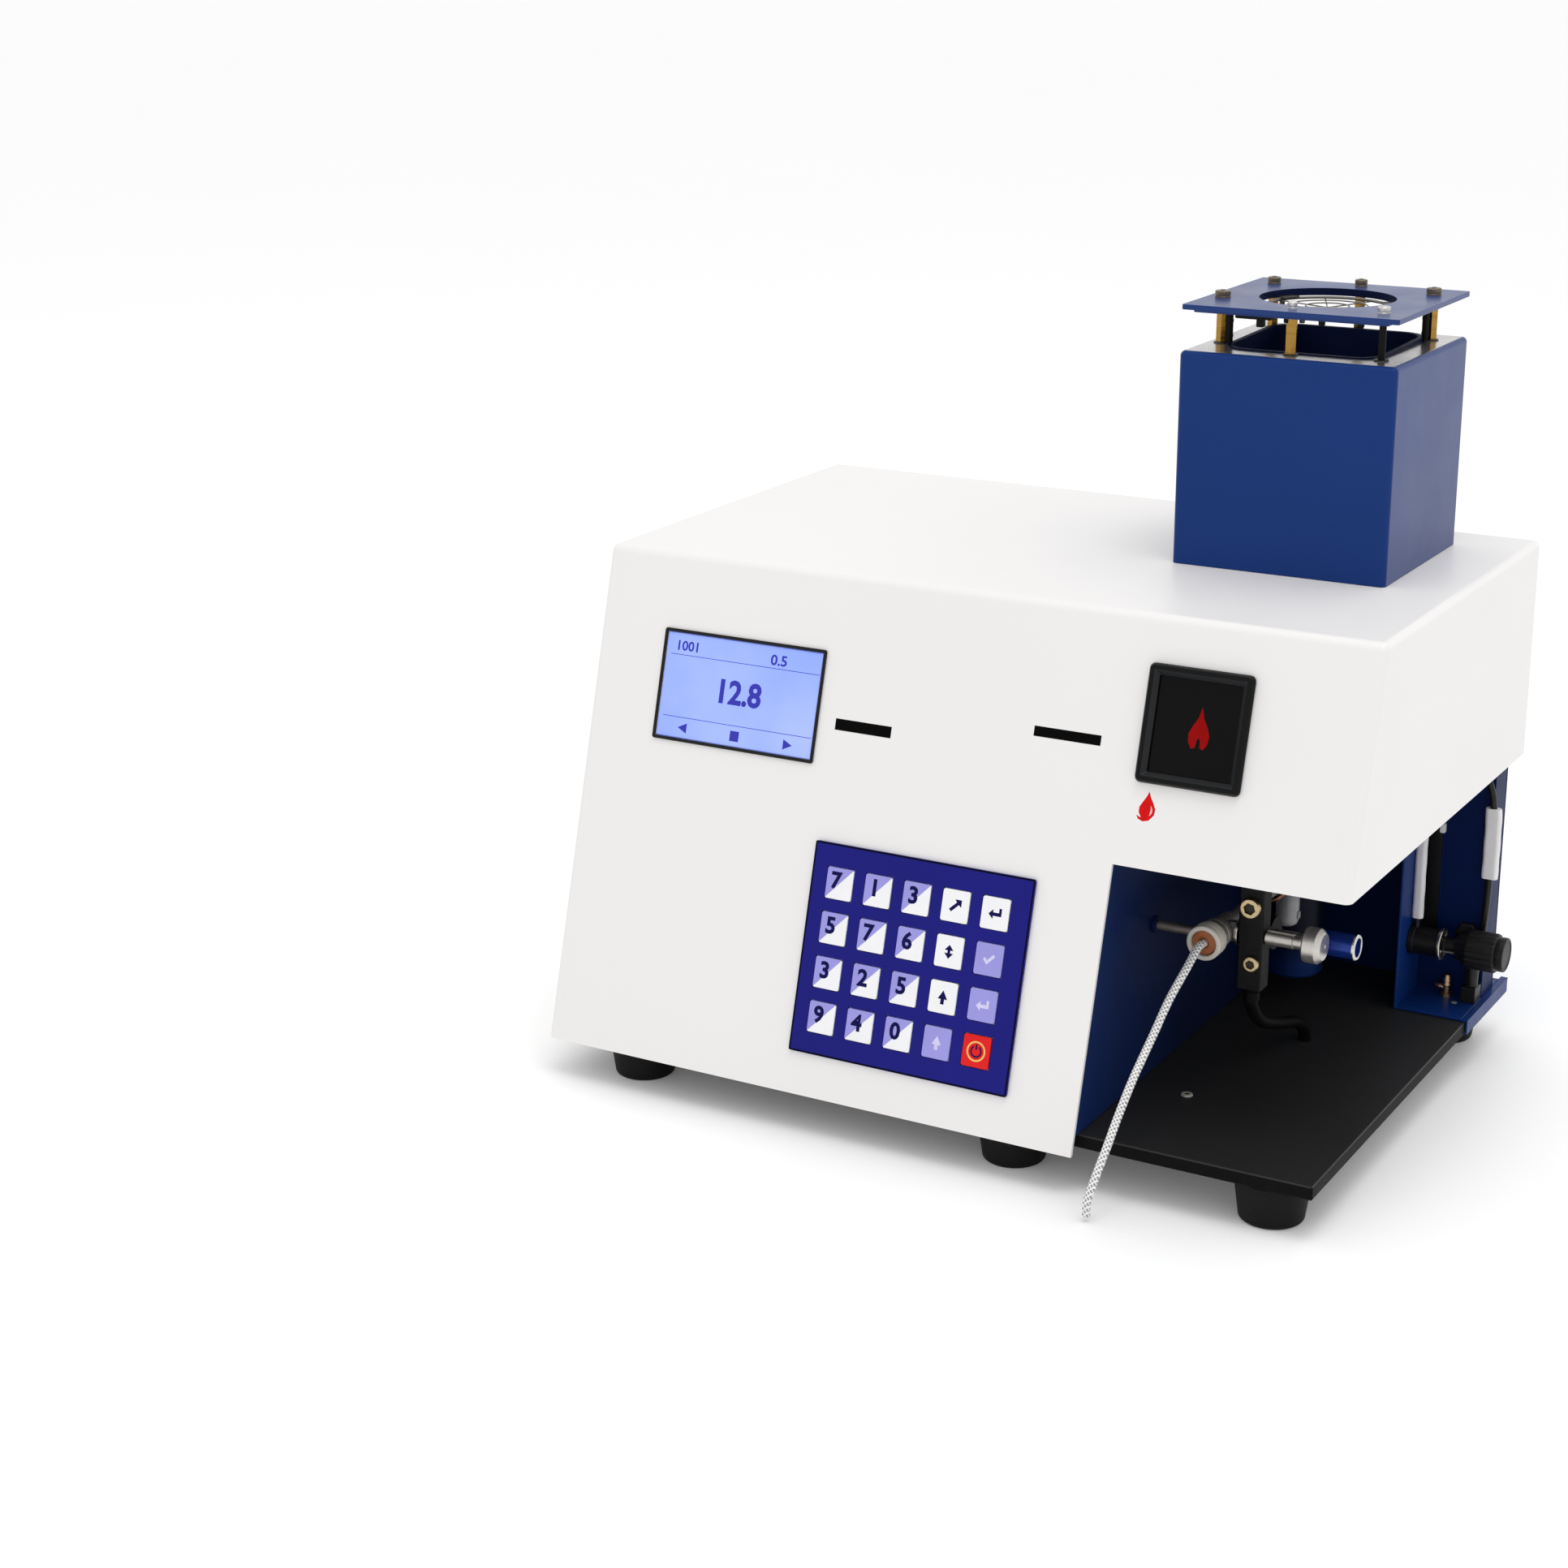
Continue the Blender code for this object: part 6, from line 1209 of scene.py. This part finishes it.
profile += [(ring, length - 0.0015), (ring, length - 0.0006), (ring - 0.0006, length), (0.0052, length)]
profile += [(socket, length - 0.0004), (socket, length - 0.0040), (0, length - 0.0040), (0, 0.0150)]
profile += [(GRIP_BORE, 0.0150)]
grip = solid(
    "rear_grip_blue", turned(profile, 64, ring=True), [grip_blue, ring_bright], body="grip", sharp=28,
    place=along((GRIP_START, GRIP_Y, GRIP_Z), (1, 0, 0)), node="valve_grip",
)
repaint(grip, lambda face: (
    face.center.x > GRIP_END - 0.00185 and (face.center.yz - Vector((GRIP_Y, GRIP_Z))).length > GRIP_SOCKET
))

# Waste tube: short black rubber tube pushed on a spigot under the block. It curves back and down
# through the hole in the base plate.
WASTE_RADIUS, WASTE_START, WASTE_END = 0.0035, (0.1432, -0.0542, 0.0865), (0.1474, 0.0198, 0.0281)
WASTE_BENDS = ((0.15, 0.00), (0.40, 0.16), (0.58, 0.48), (0.74, 0.84), (0.90, 0.99))
WASTE_CLIP, WASTE_CLIP_LENGTH, WASTE_CLIP_DROP = (0.0036, 0.0044), 0.0050, 0.0062
waste_rubber = coat(
    "waste_hose", (0.0035, 0.0035, 0.0037), 0.5, shade=0.75, blotch=90, grain=1500, gloss=0.06
)
start, end = Vector(WASTE_START), Vector(WASTE_END)
drop, away = Vector((0, 0, base_high.z - start.z)), Vector((end.x - start.x, end.y - start.y, 0))
waste_route = [start] + [start + drop * down + away * out for down, out in WASTE_BENDS] + [end]
waste = hose("waste_tube_rubber", smooth_route(waste_route, 0.0025), WASTE_RADIUS, waste_rubber)
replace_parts(waste, "waste_tube")
waste_clip = tube(*WASTE_CLIP, 0, WASTE_CLIP_LENGTH, 40)
solid("waste_clip", waste_clip, waste_rubber, place=at(start.x, start.y, start.z - WASTE_CLIP_DROP))

# Control box: blue painted bracket folded from one sheet, with its floor flange screwed to the
# base. Two hoses with plain white sleeves come down in it, to the regulator and to an elbow, past a
# black strip that is painted shade on the back wall, two white clips, a bulkhead nut and a brass
# fitting.
BOX_WALL, BOX_BACK, BOX_FLOOR = 0.1220, 0.115, 0.0327
HOSE_RADIUS = 0.0019
LEFT_HOSE = (
    (0.1802, 0.1065, 0.0750), (0.1802, 0.1065, 0.0900), (0.1800, 0.1075, 0.1300),
    (0.1800, 0.1120, 0.1600), (0.1800, 0.1185, 0.1700),
)
RIGHT_HOSE = (
    (0.2112, 0.1185, 0.0400), (0.2135, 0.1190, 0.0640), (0.2153, 0.1190, 0.0880),
    (0.2161, 0.1190, 0.1150), (0.2158, 0.1190, 0.1480), (0.2130, 0.1190, 0.1610),
    (0.2100, 0.1190, 0.1700),
)
SLEEVES = (
    ("left_sleeve", LEFT_HOSE, 0.0785, 0.1350, 0.0032),
    ("right_sleeve", RIGHT_HOSE, 0.1045, 0.1520, 0.0046),
)
SLEEVE_HALF_DEPTH, SLEEVE_CORNER, SLEEVE_SWELL, SLEEVE_RIPPLE = 0.0024, 0.0023, 0.03, 1.7
STRIP = ((0.1772, 0.1215, 0.0700), (0.1874, BOX_WALL + 0.0003, 0.1760))
RIDGE = ((0.1874, 0.1205, 0.0700), (0.1888, BOX_WALL + 0.0003, 0.1760))
WALL_CLIP = ((0.1860, 0.1180, 0.1290), (0.1890, 0.1216, 0.1345))
TOP_CLIP = ((0.1880, 0.1165, 0.1655), (0.1925, 0.1222, 0.1700))
ELBOWS = (("left_elbow", 0.1800), ("right_elbow", 0.2100))
ELBOW_FOOT, ELBOW_FOOT_PLACE = ((-0.0045, -0.0052, 0), (0.0041, 0.0055, 0.0095)), (0.2108, 0.1163, BOX_FLOOR)
SPIGOT = ((0, 0.0080), (0.0036, 0.0080), (0.0036, 0.0190), (0.0030, 0.0200), (0.0030, 0.0240), (0, 0.0240))
BULKHEAD = ((0, 0), (0.0062, 0), (0.0066, 0.0004), (0.0066, 0.0036), (0.0060, 0.0042), (0, 0.0042))
FITTING = (
    (0, 0), (0.0036, 0), (0.0036, 0.0026), (0.0022, 0.0030), (0.0022, 0.0066), (0.0028, 0.0072),
    (0.0020, 0.0092), (0.0026, 0.0096), (0.0017, 0.0132), (0, 0.0132),
)
FITTING_ARM = ((0, 0), (0.0017, 0), (0.0017, 0.0040), (0.0022, 0.0042), (0.0015, 0.0064), (0, 0.0064))
BULKHEAD_PLACE, FITTING_PLACE = (0.2052, BOX_WALL, 0.0718), (0.1966, 0.1165, BOX_FLOOR)
FLOOR_SCREW, FLOOR_SCREW_RADIUS, FLOOR_SCREW_HEIGHT = (0.2040, 0.1085, 0.0326), 0.0018, 0.0006
box_blue = coat("box_blue", (0.004, 0.028, 0.155), 0.36, shade=0.90, gloss=0.16, **POWDER)
sleeve_white = coat("sleeve_white", (0.78, 0.76, 0.77), 0.42, shade=0.92, blotch=90, grain=900)
hose_black = coat("hose_black", (0.006, 0.006, 0.0065), 0.38, blotch=90, grain=1500, gloss=0.3)
fitting_metal = turned_metal("fitting_metal", (0.50, 0.33, 0.22), 0.34)
box = rolled_node("control_box_blue", "control_box", [box_blue, box_inside_shade], WALL_ROLL, 2)
box_low, box_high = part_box("control_box")
# Painted shade: the back wall's inner face and the right flange take the darker blue.
repaint(box, lambda face: (
    (face.normal.y < -0.9 and face.center.y > BOX_BACK)
    or (face.normal.x > 0.9 and face.center.x > box_high.x - 0.001)
))
# Black strip on the back wall beside the left wall and hose: painted shade.
solid("box_shade_strip", block(*STRIP), hose_black)
solid("box_ridge", roll_edges(block(*RIDGE), 0.0003, 2), box_inside_shade)
solid("box_clip", roll_edges(block(*WALL_CLIP), 0.0006, 2), sleeve_white)
hose("left_hose", smooth_route(LEFT_HOSE, 0.004), HOSE_RADIUS, hose_black)
hose("right_hose", smooth_route(RIGHT_HOSE, 0.004), HOSE_RADIUS, hose_black)
for name, route, low, high, half_width in SLEEVES:
    rings = []
    for knot in smooth_route(route, 0.004):
        if low <= knot.z <= high:
            swell = 1 + SLEEVE_SWELL * sin(SLEEVE_RIPPLE * len(rings))
            flat = rounded_box(half_width, SLEEVE_HALF_DEPTH, SLEEVE_CORNER, 5)
            rings.append([(knot.x + a * swell, knot.y + b, knot.z) for a, b in flat])
    solid(name, stacked(rings), sleeve_white, sharp=50)
for name, x in ELBOWS:
    elbow = block((x - 0.0042, 0.1136, 0.1676), (x + 0.0042, BOX_WALL, 0.1770))
    solid(name, roll_edges(elbow, 0.0008), hose_black)
carved(
    "elbow_block", block(*ELBOW_FOOT), hose_black, joined=[turned(SPIGOT, 36)], roll=0.0006,
    place=at(*ELBOW_FOOT_PLACE),
)
lip = block(
    (box_high.x - 0.0003, box_low.y, box_low.z + 0.0001),
    (base_high.x + 0.0014, base_high.y, box_low.z + 0.0012),
)
add_shape(lip, block(
    (base_high.x + 0.0003, box_low.y, base_low.z + 0.0004),
    (base_high.x + 0.0013, base_high.y - 0.0001, box_low.z + 0.0006),
))
carved("box_lip", lip, box_blue)
bulkhead = roll_edges(turned(BULKHEAD, 6), 0.0004, 2)
solid("bulkhead_nut", bulkhead, hose_black, place=along(BULKHEAD_PLACE, (0, -1, 0)))
fitting_arm = moved(turned(FITTING_ARM, 28), along((0, 0, 0.0050), (-1, 0, 0.15)))
carved("brass_fitting", turned(FITTING, 36), fitting_metal, joined=[fitting_arm], place=at(*FITTING_PLACE))
screw_head("box_floor_screw", at(*FLOOR_SCREW), zinc, FLOOR_SCREW_RADIUS, FLOOR_SCREW_HEIGHT)
solid("box_clip", roll_edges(block(*TOP_CLIP), 0.0007), sleeve_white)

# Air regulator: moulded black body on the box's wall with a bright spring ring and fork, and a big
# black ribbed knob that flares from its neck and ends in a plain cap.
REGULATOR_START, REGULATOR_Y, REGULATOR_Z = 0.1773, 0.1065, 0.0676
REGULATOR_BODY = (
    (0, 0), (0.0085, 0), (0.0087, 0.0002), (0.0087, 0.0030), (0.0084, 0.0033), (0.0080, 0.0034),
    (0.0080, 0.0165), (0.0074, 0.0172), (0.0045, 0.0174), (0.0045, 0.0200), (0.0041, 0.0204),
    (0.0041, 0.0262), (0.0022, 0.0264), (0.0022, 0.0440), (0, 0.0440),
)
SPRING_RING = (
    (0.0076, 0.0172), (0.0090, 0.0172), (0.0092, 0.0176), (0.0092, 0.0186), (0.0088, 0.0190),
    (0.0076, 0.0190),
)
SPRING_ARM, SPRING_TURNS = ((0.0038, -0.0010, 0.0174), (0.0080, 0.0010, 0.0188)), (0.6, 2.2, 3.9, 5.3)
SPRING_PRONG, PRONG_TURN = ((0.0040, -0.0008, 0.0176), (0.0050, 0.0008, 0.0258)), -2.3
AIR_KNOB_START, AIR_KNOB_RADIUS, AIR_KNOB_RIBS, RIB_STEPS = 0.2040, 0.0112, 20, 6
AIR_KNOB_BORE = (0.0026, -0.001, 0.0180)
AIR_KNOB_LEVELS = (
    (0.0064, 0.0, 0.0), (0.0070, 0.0, 0.0006), (0.0074, 0.0, 0.0016), (0.0090, 0.0002, 0.0042),
    (0.0107, 0.0005, 0.0066), (AIR_KNOB_RADIUS, 0.0006, 0.0078), (AIR_KNOB_RADIUS, 0.0006, 0.0225),
    (AIR_KNOB_RADIUS - 0.0003, 0.0004, 0.0233), (AIR_KNOB_RADIUS - 0.0009, 0.0, 0.0237),
    (0.0091, 0.0, 0.0242), (0.0091, 0.0, 0.0247), (0.0098, 0.0, 0.0252), (0.0098, 0.0, 0.0278),
    (0.0095, 0.0, 0.0283), (0.0088, 0.0, 0.0285), (0.0080, 0.0, 0.0285), (0.0078, 0.0, 0.0282),
)
regulator_black = coat(
    "regulator_black", (0.0055, 0.0055, 0.0058), 0.44, blotch=50, grain=1700, depth=0.00003, gloss=0.25
)
regulator_axis = along((REGULATOR_START, REGULATOR_Y, REGULATOR_Z), (1, 0, 0))
solid(
    "regulator_body_black", turned(REGULATOR_BODY, 64), regulator_black, place=regulator_axis, sharp=28,
    node="regulator_body",
)
spring = turned(SPRING_RING, 60, ring=True)
for part, turns in ((SPRING_ARM, SPRING_TURNS), (SPRING_PRONG, (PRONG_TURN,))):
    for angle in turns:
        add_shape(spring, roll_edges(moved(block(*part), spin(angle)), 0.0002, 2))
solid("regulator_ring", spring, nickel_bright, place=regulator_axis, sharp=28)


def ribbed(radius, depth, height):
    """Outline of the air knob with rounded finger ribs at a height."""
    rib = [radius - depth * (0.5 - 0.5 * cos(tau * step / RIB_STEPS)) for step in range(RIB_STEPS)]
    return outline_of(rib * AIR_KNOB_RIBS, height)


knob_shape = stacked([ribbed(*level) for level in AIR_KNOB_LEVELS])
carved(
    "air_knob_black", knob_shape, regulator_black, cut=[disc(*AIR_KNOB_BORE, 32)], body="air_knob",
    place=along((AIR_KNOB_START, REGULATOR_Y, REGULATOR_Z), (1, 0, 0)), sharp=34, node="regulator_knob",
)

# Inside the case: black anodised optics tube with its detector on the partition, green control
# board on stand-offs, and the mains transformer with varnished plates and a wound bobbin.
PLATES_DARK, PLATES_PALE = (0.045, 0.040, 0.038), (0.105, 0.095, 0.09)
optics_black = coat("optics_black", (0.012, 0.012, 0.013), 0.36, metal=0.4, blotch=60, grain=2400)
rolled_node("optics_tube_black", "optics_tube", optics_black, 0.0004, 2, sharp=28)
board_green = coat("board_green", (0.010, 0.110, 0.040), 0.34, shade=0.75, blotch=80, grain=2600)
rolled_node("main_board_green", "main_board", board_green, 0.0002, 1)
plates = finish("transformer_core", (0.075, 0.068, 0.065), 0.40, 0.6)
plates_shader = shader_of(plates)
layers = noise(plates_shader, 1500, (1, 0.02, 0.02), detail=1.0)
vary(plates_shader, ["Base Color"], layers, PLATES_DARK, PLATES_PALE)
bump(plates_shader, layers, 0.0001)
rolled_node("transformer_plates", "power_transformer", plates, 0.0006, 2)
